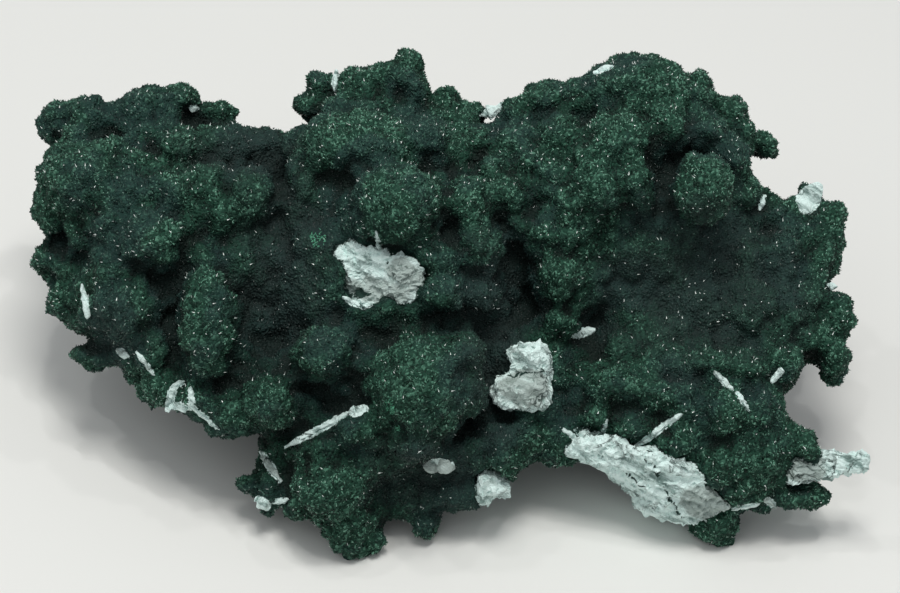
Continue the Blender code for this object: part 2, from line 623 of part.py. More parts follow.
# The origin is on the floor under the middle of the specimen's outline.
corners = [vert.co for item in (malachite, matrix_rock) for vert in item.data.vertices]
middle_x = (min(c.x for c in corners) + max(c.x for c in corners)) / 2.0
middle_y = (min(c.y for c in corners) + max(c.y for c in corners)) / 2.0
for item in (malachite, matrix_rock):
    item.data.transform(Matrix.Translation((-middle_x, -middle_y, 0.0)))
print("moved to stand over the origin by", round(-middle_x, 5), round(-middle_y, 5))

for helper in cutters.objects:
    helper.hide_render = True
    helper.display_type = "WIRE"

malachite.data.materials.clear()
malachite.data.materials.append(stone("malachite green", (0.012, 0.06, 0.035), 0.55))
matrix_rock.data.materials.clear()
matrix_rock.data.materials.append(stone("pale matrix", (0.62, 0.70, 0.66), 0.85))
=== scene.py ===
import math

import bmesh
import bpy
import numpy as np
from mathutils import Matrix, Vector, noise
from mathutils.bvhtree import BVHTree


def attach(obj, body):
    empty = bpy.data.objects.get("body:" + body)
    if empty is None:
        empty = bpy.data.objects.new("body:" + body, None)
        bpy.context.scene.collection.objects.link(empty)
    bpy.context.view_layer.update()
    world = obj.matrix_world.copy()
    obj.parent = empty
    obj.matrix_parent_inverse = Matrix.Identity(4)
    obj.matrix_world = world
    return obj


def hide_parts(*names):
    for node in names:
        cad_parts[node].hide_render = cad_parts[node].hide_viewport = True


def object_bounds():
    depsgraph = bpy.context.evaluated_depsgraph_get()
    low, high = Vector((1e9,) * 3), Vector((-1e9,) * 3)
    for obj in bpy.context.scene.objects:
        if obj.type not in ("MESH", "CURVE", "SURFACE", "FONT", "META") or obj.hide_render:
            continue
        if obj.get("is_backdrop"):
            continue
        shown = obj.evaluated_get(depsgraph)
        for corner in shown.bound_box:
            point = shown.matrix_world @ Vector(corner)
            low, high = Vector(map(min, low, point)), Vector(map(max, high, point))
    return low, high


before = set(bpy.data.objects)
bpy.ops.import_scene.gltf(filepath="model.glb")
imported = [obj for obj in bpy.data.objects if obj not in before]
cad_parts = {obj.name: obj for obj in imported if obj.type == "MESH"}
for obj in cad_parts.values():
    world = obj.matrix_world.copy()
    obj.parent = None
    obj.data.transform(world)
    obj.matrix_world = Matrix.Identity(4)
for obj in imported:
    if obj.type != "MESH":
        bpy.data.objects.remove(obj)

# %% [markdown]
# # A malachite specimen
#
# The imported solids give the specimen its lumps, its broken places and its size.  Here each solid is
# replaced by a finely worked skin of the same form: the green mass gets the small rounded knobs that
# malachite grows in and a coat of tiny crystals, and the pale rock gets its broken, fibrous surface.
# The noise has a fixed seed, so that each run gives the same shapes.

MM = 0.001
NOISE_SEED = 5
noise.seed_set(NOISE_SEED)
CAD_LOW, CAD_HIGH = (Vector(corner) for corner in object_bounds())
matrix_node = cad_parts["matrix"]
print("packed size in mm", [round(v / MM, 1) for v in CAD_HIGH - CAD_LOW])

# %% [markdown]
# ## Where it is looked at from
#
# The specimen is seen from above its front through a long lens.  How far straight level lines lean in
# such a view gives the tilt, the roll and the length of the lens.  The same tilted axes, across and up
# the picture and out towards the eye, are used further on to say where the lumps and the broken places
# are.

# %% Camera
VIEW_PITCH = math.radians(41.3)
VIEW_ROLL = math.radians(5.9)
VIEW_DISTANCE = 0.93
VIEW_TARGET = Vector((0.00199, -0.01871, 0.0624))
LENS = 119.9

unrolled_up = Vector((0.0, math.sin(VIEW_PITCH), math.cos(VIEW_PITCH)))
room_right = Vector((1.0, 0.0, 0.0))
ACROSS = room_right * math.cos(VIEW_ROLL) + unrolled_up * math.sin(VIEW_ROLL)
UP = unrolled_up * math.cos(VIEW_ROLL) - room_right * math.sin(VIEW_ROLL)
OUT = ACROSS.cross(UP)
VIEW_AXES = Matrix((ACROSS, UP, OUT)).transposed()

lens = bpy.data.cameras.new("Camera")
lens.lens = LENS
lens.sensor_width = 36.0
lens.clip_start = 0.05
camera = bpy.data.objects.new("Camera", lens)
camera.matrix_world = Matrix.Translation(VIEW_TARGET + OUT * VIEW_DISTANCE) @ VIEW_AXES.to_4x4()
bpy.context.scene.collection.objects.link(camera)
bpy.context.scene.camera = camera
print("camera stands at", [round(v, 3) for v in camera.location])

# %% [markdown]
# ## Floor and light
#
# A plain pale floor, a soft light almost straight above, which leaves a shadow close around the foot of
# the specimen, and a weaker, broader one from the front left so that the dark hollows can still be
# read.  Four small lamps high up are there for one reason: a crystal facet only flashes when it mirrors
# something small and bright.

# %% Floor
FLOOR_COLOUR = (0.80, 0.80, 0.77, 1.0)
bpy.context.scene.view_settings.view_transform = "Standard"
bpy.context.scene.view_settings.look = "None"

bm = bmesh.new()
bmesh.ops.create_grid(bm, x_segments=1, y_segments=1, size=3.0)
floor_mesh = bpy.data.meshes.new("Floor")
bm.to_mesh(floor_mesh)
bm.free()
floor = bpy.data.objects.new("Floor", floor_mesh)
bpy.context.scene.collection.objects.link(floor)
floor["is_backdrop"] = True
floor_material = bpy.data.materials.new("Floor")
floor_material.use_nodes = True
floor_shader = floor_material.node_tree.nodes["Principled BSDF"]
floor_shader.inputs["Base Color"].default_value = FLOOR_COLOUR
floor_shader.inputs["Roughness"].default_value = 0.6
floor_shader.inputs["Specular IOR Level"].default_value = 0.2
floor_mesh.materials.append(floor_material)

# %% Lights
# The place of each light in metres, then its size in metres, its power in watts and its colour.
LIGHTS = {
    "Light above": ((-0.02, -0.16, 1.45), 0.45, 9.4, (1.0, 0.99, 0.96)),
    "Light in front": ((-0.7, -0.8, 1.4), 1.1, 3.0, (0.97, 0.99, 1.0)),
    "Lamp 1": ((-0.62, 0.05, 1.3), 0.04, 1.1, (1.0, 1.0, 1.0)),
    "Lamp 2": ((-0.22, 0.15, 1.4), 0.04, 1.1, (1.0, 1.0, 1.0)),
    "Lamp 3": ((0.20, -0.10, 1.4), 0.04, 1.1, (1.0, 1.0, 1.0)),
    "Lamp 4": ((0.60, 0.05, 1.3), 0.04, 1.1, (1.0, 1.0, 1.0)),
}
ROOM_COLOUR = (0.93, 0.96, 1.0, 1.0)
ROOM_STRENGTH = 0.37


def soft_light(name, place, size, power, colour):
    """A square light of this size that faces the specimen."""
    data = bpy.data.lights.new(name, "AREA")
    data.size = size
    data.energy = power
    data.color = colour
    made = bpy.data.objects.new(name, data)
    made.location = place
    aim = VIEW_TARGET - Vector(place)
    made.rotation_euler = aim.to_track_quat("-Z", "Y").to_euler()
    bpy.context.scene.collection.objects.link(made)


for name, values in LIGHTS.items():
    soft_light(name, *values)

world = bpy.data.worlds.new("Room")
world.use_nodes = True
world.node_tree.nodes["Background"].inputs["Color"].default_value = ROOM_COLOUR
world.node_tree.nodes["Background"].inputs["Strength"].default_value = ROOM_STRENGTH
bpy.context.scene.world = world
print(len(LIGHTS), "lights, four of them small lamps")

# %% [markdown]
# ## The lumps
#
# Malachite grows in rounded lumps that run into each other.  Each one that can be told apart is an
# ellipsoid, given as it is seen: its place across and up the view and how far its front stands out
# towards the eye, then its half width, half height and half depth and its turn, in millimetres and
# degrees.  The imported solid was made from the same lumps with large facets.  Here they are grown
# together again with small faces, so that the creases between them stay sharp.

# %% Where the lumps are
LEFT_LOBE = [
    (-121, 54, -30, 7.2, 7.8, 10, 0), (-112.5, 55.5, -24, 8, 7.6, 12, 0), (-104, 52.5, -27, 8, 7.2, 12, 0),
    (-94, 56.4, -27, 11.4, 9, 14, 10), (-84.5, 60.2, -32, 6.7, 6.8, 10, 0), (-90, 48.5, -18, 13, 7, 14, 0),
    (-74, 56.8, -42, 9, 3.8, 7, 3), (-68.5, 47.5, -32, 14, 6.6, 13, -8), (-57, 46, -34, 9, 7, 12, 0),
    (-111, 34, 6, 18.2, 14.4, 28, 0), (-107, 43.5, -2, 8, 6.6, 14, 0), (-119, 40.5, -8, 8.6, 8, 14, 0),
    (-123, 28, -4, 7, 9.6, 14, 0), (-114, 19, -2, 5, 6, 10, 0), (-97, 39, -2, 7.5, 7, 13, 0),
    (-85, 45, -4, 6.6, 6.2, 12, 0), (-89, 33, 5, 9, 8.5, 16, 0), (-74.5, 33.5, 6, 8.5, 8.5, 15, 0),
    (-61.8, 31, 10, 8, 10, 15, 0), (-70, 24.5, 8, 8.5, 7.5, 14, 0), (-91, 17, 20, 13.4, 11.4, 22, 0),
    (-104, 22, 8, 8.6, 9, 16, 0), (-103, 8, 13, 9.4, 9.4, 17, 0), (-98, -3.5, 18, 13.4, 12.6, 21, 0),
    (-108.5, -5, 9, 6.8, 9, 14, 0), (-124.8, 11.2, -9, 5.7, 6.2, 8, 0), (-118, 9, -8, 7.2, 7.2, 11, 0),
    (-112.5, 1, -2, 6, 9, 10, 0), (-118.5, -1, -8, 6.8, 7, 11, 0), (-113.5, -7, -4, 5.5, 5.5, 9, 0),
    (-110, -18.4, 0, 7.6, 4.2, 7, -4), (-102.5, -17, 3, 5.5, 4.5, 8, 0), (-98, -22, 5, 4.5, 7.5, 9, 28),
    (-92, -30, 6, 4.2, 4.6, 8, 0), (-91, -16, 13, 9, 12, 16, 0), (-84.5, -19, 8, 8, 10, 14, 0),
    (-75, -8, 29, 9.6, 17.6, 18, 3), (-88, -28.5, 12, 7.5, 6, 13, 0), (-78, -30, 17, 9, 8.4, 15, -18),
    (-69.5, -36, 19, 8, 7.8, 14, -20), (-62, 8, -8, 12, 17, 16, 0), (-61, -9, 0, 11, 13, 16, 0),
]

MIDDLE = [
    (-45.6, 60.4, -42, 3.6, 3.8, 5, 0), (-40.4, 65.4, -40, 4.2, 5, 6, 0), (-42, 58.5, -38, 5.5, 5, 8, 0),
    (-32.6, 65.6, -36, 4.8, 5.2, 8, 0), (-25, 64.5, -28, 8.6, 8.6, 12, 0), (-27, 56.5, -22, 15, 7.5, 14, 0),
    (-14.5, 66, -26, 7.6, 8.8, 12, 0), (-13.2, 71.2, -30, 5.2, 5.8, 8, 0),
    (-10.5, 63.5, -26, 4.6, 8, 10, 0), (-1.4, 60.4, -38, 4.8, 5.6, 9, 0),
    (5.5, 56.8, -40, 6.8, 4.4, 9, -12), (1, 51, -28, 10, 7.5, 14, 0), (-27.5, 44, 6, 23, 14.6, 28, -3),
    (-44, 45, -12, 9, 9, 16, 20), (-9, 46.5, -4, 9.5, 8.6, 16, 0), (-16.5, 27.5, 28, 15.6, 14.4, 25, 0),
    (-27, 24, 16, 6, 8.5, 14, 0), (5, 27.5, 14, 8.6, 10.5, 17, 0), (8.8, 14.5, 17, 8.2, 9.4, 17, 0),
    (-3, 12, 18, 8, 7, 14, 0), (-2, 1, 20, 8.8, 7.4, 15, 0), (9, 0.5, 13, 7, 6.5, 13, 0),
    (-46, 31, 0, 7, 16, 14, -8), (-42, 13, 7, 8.5, 14, 15, 0), (-48, -3, 2, 10, 11, 15, 0),
    (-30, -6.5, 3, 13, 7, 13, 0), (-12, -9, 7, 11, 6, 13, 0), (-38.5, -18, 29, 10.6, 8.6, 17, 0),
    (-43, -34, 14, 11, 10, 17, 0), (-65, -24, 11, 12, 12, 16, 0), (-50, -21, 9, 8, 8, 18, 0),
    (-31, -29.5, 15, 8, 7, 18, 0), (-55, -32, 28, 9.8, 9, 17, 0), (-64, -37.5, 19, 5.6, 6, 12, 0),
    (-8.5, -28, 38, 16.4, 17.4, 28, 0), (4.4, -18.5, 29, 6.4, 7.4, 14, 0), (6.2, -29, 26, 5.2, 8, 13, 0),
    (-23, -24, 25, 6.4, 8, 15, 0), (-27, -40.5, 25, 10, 8.4, 17, 20), (-11, -45, 29, 10, 6.8, 17, 0),
    (-41.5, -46.5, 19, 8.5, 6.5, 14, 20), (-52.5, -45, 9, 7.5, 7, 14, 0), (-20, -49, 15, 11, 9, 18, 0),
    (-37, -58.5, 25, 13, 11.4, 20, 0), (-47, -64, 14, 5, 5.4, 10, 0), (-26.5, -52.5, 19, 7, 7, 15, 0),
    (-31, -69.5, 14, 9, 9, 11, 0), (-31, -75.5, 8, 6.4, 6.4, 7, 0), (-24.8, -74.4, 5, 4.6, 5.6, 6, 0),
    (-56, -58.4, 8, 4.8, 4.6, 7, 0), (-58, -54, 4, 3.4, 3.8, 6, 0), (-63, -59, 6, 3.4, 3.2, 5, 0),
    (-57, -64, 6, 3.8, 3.4, 7, 0), (-50, -56, 6, 6, 8, 11, 0), (-13, -58, 5, 14, 10.4, 12, 0),
    (-19, -65.5, 3, 5.2, 6, 7, 0), (-7.5, -69.6, 1, 5, 5, 6, 0), (0, -59, 7, 8, 8.4, 11, 0),
    (-2, -49, 16, 8, 7, 15, 0), (7, -49, 12, 8, 9.6, 16, 0), (17.4, -51.5, 9, 5.6, 6.4, 12, 0),
    (5, -60, 5, 5.6, 6.6, 10, 0), (11.5, -50.5, 10, 7, 5.6, 12, 0), (15, -47, 15, 8, 9.8, 17, 0),
    (22, -41.5, 8, 8, 10.5, 16, 0), (20, -22, 5, 9, 16, 16, 0),
]

RIGHT_LOBE = [
    (21.5, 54, -26, 8, 8.6, 14, 0), (31, 59.5, -24, 10, 8.2, 15, 0), (43, 61, -24, 8, 8.6, 14, 0),
    (58.5, 60.5, -14, 20.5, 15.4, 27, -4), (76, 61, -24, 7.2, 9.4, 15, 0), (86.6, 56, -31, 6.6, 7, 12, 0),
    (90.4, 49, -30, 5.6, 8, 13, 0), (78, 50, -12, 9, 8, 16, 0), (96.8, 46.8, -37, 5, 4.6, 8, 0),
    (11, 46, -16, 7, 8, 14, 0), (21, 45.5, -11, 9, 8.4, 15, 0), (25.5, 40.5, -3, 6.4, 6.2, 12, 0),
    (34.5, 48.5, -5, 8.4, 9, 17, 0), (41, 42.5, 2, 6, 6.6, 12, 0), (52, 46, 4, 13.6, 12, 24, 0),
    (66.5, 51, -4, 8.6, 9, 17, 0), (45, 33, 12, 11.6, 11, 22, 0), (57.5, 34, 8, 6.6, 9, 16, 0),
    (32.5, 33.5, 1, 7.6, 8.4, 15, 0), (36, 27, 6, 5.6, 6, 11, 0), (18.5, 31, 5, 7.2, 8.6, 15, 0),
    (14, 38.5, -4, 6, 6.6, 12, 0), (21.5, 22, 2, 5.4, 6.4, 11, 0), (78.3, 33.4, 14, 9.4, 11.4, 14, 0),
    (86.5, 41, -12, 6.8, 9, 15, 0), (90, 31, -18, 6.8, 9, 13, 0), (28.5, 19, 7, 8.6, 8.8, 16, 0),
    (38.5, 20, 3, 9, 9, 16, 0), (33, 6.5, 8, 9, 9.6, 17, 0), (43, 5, -4, 9, 11, 15, 0),
    (49, 20, -5, 9, 10, 15, 0), (34, -7, 1, 8, 8, 14, 0), (58, 14, -14, 14, 13, 14, 0),
    (74, 12, -12, 13, 12, 14, 0), (90, 12, -13, 11, 11, 14, 0), (58, -4, -10, 14, 12, 14, 0),
    (76, -4, -8, 14, 12, 14, 0), (93, -4, -7, 11, 13, 14, 0), (103, 11, -14, 7.5, 11.5, 14, 0),
    (105, -6, -10, 6.5, 12, 14, 0), (99, 25.6, -28, 7.4, 5.6, 10, 0), (106, 26.5, -32, 4.6, 5.2, 8, 20),
    (107, 21, -25, 5.4, 5.4, 10, 0), (97.4, 31.2, -32, 3, 3.2, 6, 0), (111.6, 29.2, -36, 4.8, 6.6, 8, 10),
    (116.5, 20, -22, 6.4, 8.8, 9, 0), (119.2, 25.2, -25, 3.8, 5.4, 7, 0), (114.5, 11, -20, 7, 8, 11, 0),
    (112, 0, -15, 5.8, 9, 10, 0), (120.6, -6, -16, 5.2, 7.8, 8, 0), (118.8, -18.8, -13, 5.4, 8.4, 9, 0),
    (113, -13, -13, 5.8, 7.5, 9, 0), (101, -20, -4, 9, 11, 16, 0),
]

LOWER_RIGHT = [
    (79, -21, 5, 12, 7.2, 16, -8), (91, -23, 5, 8, 7.5, 15, 0), (50, -27, 9, 9, 7, 15, 10),
    (62, -29.5, 11, 9.5, 6.8, 16, -14), (72, -32, 10, 8, 8, 15, 0), (45, -37, 5, 8, 8, 15, 0),
    (57, -40, 8, 10, 7.5, 15, 0), (34, -42, 3, 8.5, 9, 14, 0), (34, -47, 1, 12, 5.6, 11, 0),
    (28, -34, 3, 8, 9, 14, 0), (70, -45, 10, 9, 9, 16, 0), (84, -36, 12, 11, 11, 20, 0),
    (95, -36, 7, 9, 11, 16, 0), (84, -51, 10, 11, 10, 19, 0), (96, -50, 8, 9.5, 11, 17, 0),
    (88, -60, 3, 9, 6.5, 15, 0), (104, -44, 3, 6.5, 6, 12, 0), (109.5, -46.4, 3, 5.8, 4.8, 9, -30),
    (104, -61.6, -4, 9.5, 4.8, 8, 0), (112, -61.4, -5, 5.4, 3.8, 6, -8), (96, -63, -4, 5.5, 4.4, 9, 0),
    (82, -70, -6, 7.6, 6.6, 9, 0), (83, -73.5, -11, 5.6, 5.4, 7, 0),
]

# The body that the lumps grow on, and the lumps low at the back that it rests on, where they are in
# the room: x, y, z of the centre and the half sizes along x, y and z.
BODY = [
    (-80, 20, 55, 36, 30, 22), (-20, 27, 50, 46, 46, 36), (52, 46, 56, 46, 33, 34), (72, 8, 34, 34, 30, 22),
    (20, 8, 32, 36, 30, 22), (-62, 46, 22, 22, 18, 22), (58, 58, 24, 24, 20, 24), (-18, 46, 78, 22, 26, 12),
]
BACK_LUMPS = [
    (-68, 52, 12, 13, 12, 13.2), (-50, 58, 30, 16, 13, 14), (-86, 44, 40, 16, 14, 15),
    (-98, 40, 58, 15, 13, 13), (-30, 66, 48, 18, 13, 16), (-8, 68, 34, 16, 12, 15),
    (-12, 66, 66, 17, 13, 14), (14, 70, 52, 17, 12, 16), (18, 62, 28, 15, 12, 14), (38, 74, 40, 16, 12, 16),
    (40, 76, 66, 18, 12, 14), (62, 68, 14, 13.5, 12, 15.2), (66, 74, 56, 17, 12, 17),
    (84, 60, 40, 15, 14, 16), (88, 52, 64, 13, 14, 14), (102, 38, 50, 11, 14, 14),
    (-60, 56, 54, 18, 12, 14), (-80, 50, 66, 15, 11, 11),
]

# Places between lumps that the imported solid's large facets leave open and small faces can fill.
FILLERS = [
    (-115, 48.6, -18, 6.5, 5.5, 9, 0), (-99.5, 32, 6, 8.5, 8, 14, 0), (-83.5, 30, 9, 8, 8, 14, 0),
]

VIEW_LUMPS = LEFT_LOBE + MIDDLE + RIGHT_LOBE + LOWER_RIGHT + FILLERS
LUMP_VIEW_HEIGHT = 62.4
TO_ORIGIN = Vector((0.00199, -0.01871, 0.0))
print(len(VIEW_LUMPS), "lumps seen from the front,", len(BODY) + len(BACK_LUMPS), "behind them")

# %% Grow the lumps together
SKIN_STEP = 1.36 * MM
MATRIX_STEP = 0.85 * MM


def view_place(across, up, out):
    """The point seen at (across, up) that stands this far out towards the eye, in millimetres."""
    nearer = 1.0 - out * MM / VIEW_DISTANCE
    point = ACROSS * (across * nearer) + UP * (up * nearer) + OUT * out
    return (point + Vector((0.0, 0.0, LUMP_VIEW_HEIGHT))) * MM + TO_ORIGIN


def lump_matrix(across, up, front, half_across, half_up, half_out, turn):
    """Where a unit ball goes to become this lump."""
    size = Matrix.Diagonal((half_across * MM, half_up * MM, half_out * MM)).to_4x4()
    spin = Matrix.Rotation(math.radians(turn), 4, "Z")
    return Matrix.Translation(view_place(across, up, front - half_out)) @ VIEW_AXES.to_4x4() @ spin @ size


def room_matrix(x, y, z, half_x, half_y, half_z):
    """Where a unit ball goes to become a lump that is placed in the room."""
    size = Matrix.Diagonal((half_x * MM, half_y * MM, half_z * MM)).to_4x4()
    return Matrix.Translation(Vector((x, y, z)) * MM + TO_ORIGIN) @ size


def new_object(name, bm):
    """An object that takes the mesh in bm."""
    mesh = bpy.data.meshes.new(name)
    bm.to_mesh(mesh)
    bm.free()
    made = bpy.data.objects.new(name, mesh)
    bpy.context.scene.collection.objects.link(made)
    return made


def even_faces(item, step):
    """Have the item's surface cut up into even small faces, which also joins what overlaps."""
    remesh = item.modifiers.new("Even faces", "REMESH")
    remesh.mode = "VOXEL"
    remesh.voxel_size = step


def soften(item, rounds):
    """Have the item's surface smoothed this many rounds."""
    smooth = item.modifiers.new("Soften", "SMOOTH")
    smooth.factor = 0.5
    smooth.iterations = rounds


def settle(item):
    """Make what the modifiers give the item's own mesh."""
    graph = bpy.context.evaluated_depsgraph_get()
    graph.update()
    item.data = bpy.data.meshes.new_from_object(item.evaluated_get(graph))
    item.modifiers.clear()


def arrays_of(mesh):
    """Corner places and outward directions of a mesh as arrays."""
    places = np.empty(len(mesh.vertices) * 3)
    mesh.vertices.foreach_get("co", places)
    ways = np.empty(len(mesh.vertices) * 3)
    mesh.vertex_normals.foreach_get("vector", ways)
    return places.reshape(-1, 3), ways.reshape(-1, 3)


growth = bmesh.new()
for lump in BODY + BACK_LUMPS:
    bmesh.ops.create_icosphere(growth, subdivisions=4, radius=1.0, matrix=room_matrix(*lump))
for lump in VIEW_LUMPS:
    bmesh.ops.create_icosphere(growth, subdivisions=4, radius=1.0, matrix=lump_matrix(*lump))
mass = new_object("malachite_mass", growth)
even_faces(mass, SKIN_STEP)
settle(mass)
print("grown together:", len(mass.data.polygons), "faces")

# %% [markdown]
# ## Windows in the green
#
# Where the green crust has broken off, the pale rock under it shows.  Each window is an outline in the
# view.  It is pushed through the green as a straight-sided cutter, and the wall that this leaves is
# then cut into small faces with everything else, so that knobs and crystals can grow on it too.  The
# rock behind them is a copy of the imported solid, with small faces and a little fuller.

# %% Cut the windows
WINDOWS = {
    "broken face window": [
        (33.0, -48.6), (40.0, -44.6), (45.4, -46.0), (50.6, -41.6), (52.0, -46.4), (57.0, -49.4),
        (63.0, -46.4), (69.0, -52.2), (78.6, -53.4), (78.6, -60.0), (88.0, -65.0), (88.0, -72.0),
        (80.0, -67.0), (76.0, -70.0), (74.0, -80.0), (56.0, -80.0), (44.0, -60.0), (36.0, -52.0),
    ],
    "middle window": [
        (-35.0, 17.0), (-28.0, 16.4), (-23.0, 13.6), (-20.0, 10.6), (-13.0, 10.4), (-9.0, 8.0),
        (-9.0, 2.0), (-13.0, -1.4), (-20.0, -1.6), (-27.0, -3.8), (-33.0, 0.2), (-31.0, 4.6),
        (-33.0, 10.4), (-35.4, 14.0),
    ],
    "valley window": [
        (20.0, -19.0), (22.0, -15.4), (28.0, -15.4), (30.2, -19.0), (29.8, -33.0), (22.0, -34.4),
        (14.6, -31.8), (15.6, -27.4), (19.6, -24.4),
    ],
    "low window": [
        (8.6, -57.0), (10.0, -53.6), (15.8, -53.4), (18.2, -58.4), (15.0, -62.0), (9.4, -64.4),
    ],
}
# How far out towards the eye a cutter starts and ends, in millimetres.
WINDOW_NEAR = 70.0
WINDOW_FAR = -4.0


def window_cutter(name, outline):
    """A straight solid with this outline that runs through the green in front of the rock."""
    bm = bmesh.new()
    back = bm.faces.new([bm.verts.new(view_place(across, up, WINDOW_FAR)) for across, up in outline])
    grown = bmesh.ops.extrude_face_region(bm, geom=[back])["geom"]
    front = [item for item in grown if isinstance(item, bmesh.types.BMVert)]
    bmesh.ops.translate(bm, verts=front, vec=OUT * ((WINDOW_NEAR - WINDOW_FAR) * MM))
    bmesh.ops.triangulate(bm, faces=bm.faces)
    bmesh.ops.recalc_face_normals(bm, faces=bm.faces)
    return new_object(name, bm)


cutters = [window_cutter(name, outline) for name, outline in WINDOWS.items()]
for cutter in cutters:
    opening = mass.modifiers.new(cutter.name, "BOOLEAN")
    opening.operation = "DIFFERENCE"
    opening.solver = "MANIFOLD"
    opening.object = cutter
even_faces(mass, SKIN_STEP)
soften(mass, 2)
settle(mass)
for cutter in cutters:
    bpy.data.objects.remove(cutter, do_unlink=True)

# %% Give the rock small faces too
ROCK_SWELL = 0.9 * MM
SAME_CORNER = 0.00001
rock_copy = bmesh.new()
rock_copy.from_mesh(matrix_node.data)
bmesh.ops.remove_doubles(rock_copy, verts=rock_copy.verts, dist=SAME_CORNER)
rock = new_object("matrix_rock", rock_copy)
even_faces(rock, MATRIX_STEP)
soften(rock, 2)
settle(rock)
rock_places, rock_ways = arrays_of(rock.data)
rock.data.vertices.foreach_set("co", (rock_places + rock_ways * ROCK_SWELL).ravel())
rock.data.update()
print("mass", len(mass.data.polygons), "faces, rock", len(rock.data.polygons), "faces")

# %% [markdown]
# ## Fuller lumps
#
# Growing shapes together on a grid and smoothing them draws the lumps in a little.  A well averaged
# copy of the skin says where it runs on the whole.  What stands out of that copy is a crest and is
# raised some more, and what lies below it is a crease and is filled a little.  The same difference
# tells crests from creases, which the colour needs later on: a brighter green is painted on the
# crests as painted light.

# %% Fill the lumps out
AVERAGE_ROUNDS = 40
RAISE = 0.30
FILL = 0.30
RAISE_LIMIT = 0.9 * MM


def edges_of(mesh):
    """The two corners of every edge."""
    pairs = np.empty(len(mesh.edges) * 2, dtype=np.int32)
    mesh.edges.foreach_get("vertices", pairs)
    return pairs.reshape(-1, 2)


def averaged(values, pairs, rounds):
    """Each corner's value drawn this many times halfway to the mean of its neighbours."""
    count = len(values)
    both = np.concatenate((pairs, pairs[:, ::-1]))
    around = np.maximum(np.bincount(both[:, 0], minlength=count), 1)
    values = values.copy()
    for _ in range(rounds):
        for axis in range(values.shape[1]):
            near = np.bincount(both[:, 0], weights=values[both[:, 1], axis], minlength=count) / around
            values[:, axis] += (near - values[:, axis]) * 0.5
    return values


def relief_of(mesh, rounds):
    """How far each corner stands out of the averaged surface, in metres."""
    places, ways = arrays_of(mesh)
    return ((places - averaged(places, edges_of(mesh), rounds)) * ways).sum(axis=1)


def push_out(mesh, amounts):
    """Move each corner outward by its amount."""
    places, ways = arrays_of(mesh)
    mesh.vertices.foreach_set("co", (places + ways * amounts[:, None]).ravel())
    mesh.update()


relief = relief_of(mass.data, AVERAGE_ROUNDS)
moved = np.where(relief > 0.0, relief * RAISE, -relief * FILL)
push_out(mass.data, np.clip(moved, 0.0, RAISE_LIMIT))
print("relief from", round(float(relief.min()) / MM, 2), "to", round(float(relief.max()) / MM, 2), "mm")

# %% [markdown]
# ## Knobs
#
# Malachite grows outward from many starting points at once, and where two growths meet there is a
# sharp valley.  Distance to the nearest of a cloud of points has exactly that form: round on top, with
# a crease between neighbours.  Two sizes of it are laid over the skin, the finer on the coarser: the
# knobs' tops stand a little out of it and the valleys between them are cut in.

# %% Cut the knobs into the skin
KNOB_SIZES = ((8.8 * MM, 1.5 * MM), (4.6 * MM, 1.9 * MM))
KNOB_STAND = 1.1 * MM
KNOB_REACH = 0.72
KNOB_SWAY = 1.6 * MM
KNOB_SWAY_SIZE = 14.0 * MM


def knob_height(place, cell):
    """0 in the valleys between knobs of this size, up to 1 on their tops."""
    distance = noise.voronoi(place / cell)[0][0]
    return max(0.0, 1.0 - (distance / KNOB_REACH) ** 2)


def carve_knobs(mesh):
    """Raise the tops of the knobs, cut in the valleys between them, and give each corner's height."""
    places, ways = arrays_of(mesh)
    heights = np.zeros(len(places))
    for index in range(len(places)):
        place = Vector(places[index])
        sway = noise.noise_vector(place / KNOB_SWAY_SIZE) * KNOB_SWAY
        depth = -KNOB_STAND
        for cell, amount in KNOB_SIZES:
            height = knob_height(place + sway, cell)
            depth += amount * (1.0 - height)
            heights[index] += height / len(KNOB_SIZES)
        places[index] -= ways[index] * depth
    places[:, 2] = np.maximum(places[:, 2], 0.0)
    mesh.vertices.foreach_set("co", places.ravel())
    mesh.update()
    return heights


knob_tops = carve_knobs(mass.data)
print("mass reaches down to", round(float(arrays_of(mass.data)[0][:, 2].min()) / MM, 2), "mm")

# %% [markdown]
# ## The broken pale rock
#
# The rock breaks in small ledges and splinters, not in smooth lumps.  Its skin is moved by three
# amounts: a ragged sideways sway that makes its outline jagged, a slow height that is rounded down to
# whole ledges, and fine ridges that run along the fibres.

# %% Break the rock's surface into ledges
LEDGE = 1.1 * MM
LEDGE_COUNT = 4.0
LEDGE_SHARE = 0.8
LEDGE_SIZE = 4.2 * MM
FIBRE_AXIS = (ACROSS * 0.88 - UP * 0.47).normalized()
FIBRE_SIZE = 1.7 * MM
FIBRE_DEPTH_MM = 1.1
RAGGED = 0.9 * MM
RAGGED_SIZE = 2.4 * MM
BREAK_LIMIT = 2.4 * MM


def drawn_out(place, share):
    """The place with this share of its length along the fibres left out, which draws noise out."""
    return place - FIBRE_AXIS * (place.dot(FIBRE_AXIS) * share)


def broken_height(place):
    """How far the rock's broken surface stands out at this place."""
    slow = noise.fractal(drawn_out(place, 0.55) / LEDGE_SIZE, 0.7, 2.2, 5)
    ledge = (math.floor((0.5 + 0.5 * slow) * LEDGE_COUNT) - LEDGE_COUNT * 0.5) * LEDGE
    fibre = abs(noise.noise(drawn_out(place, 0.8) / FIBRE_SIZE)) * FIBRE_DEPTH_MM * MM
    return ledge * LEDGE_SHARE - fibre


def break_surface(mesh):
    """Give each corner of the rock its ragged sway and its broken height."""
    places, ways = arrays_of(mesh)
    for index in range(len(places)):
        place = Vector(places[index])
        sway = noise.noise_vector(place / RAGGED_SIZE) * RAGGED
        places[index] += ways[index] * max(-BREAK_LIMIT, min(BREAK_LIMIT, broken_height(place)))
        places[index] += np.array(sway)
    mesh.vertices.foreach_set("co", places.ravel())
    mesh.update()


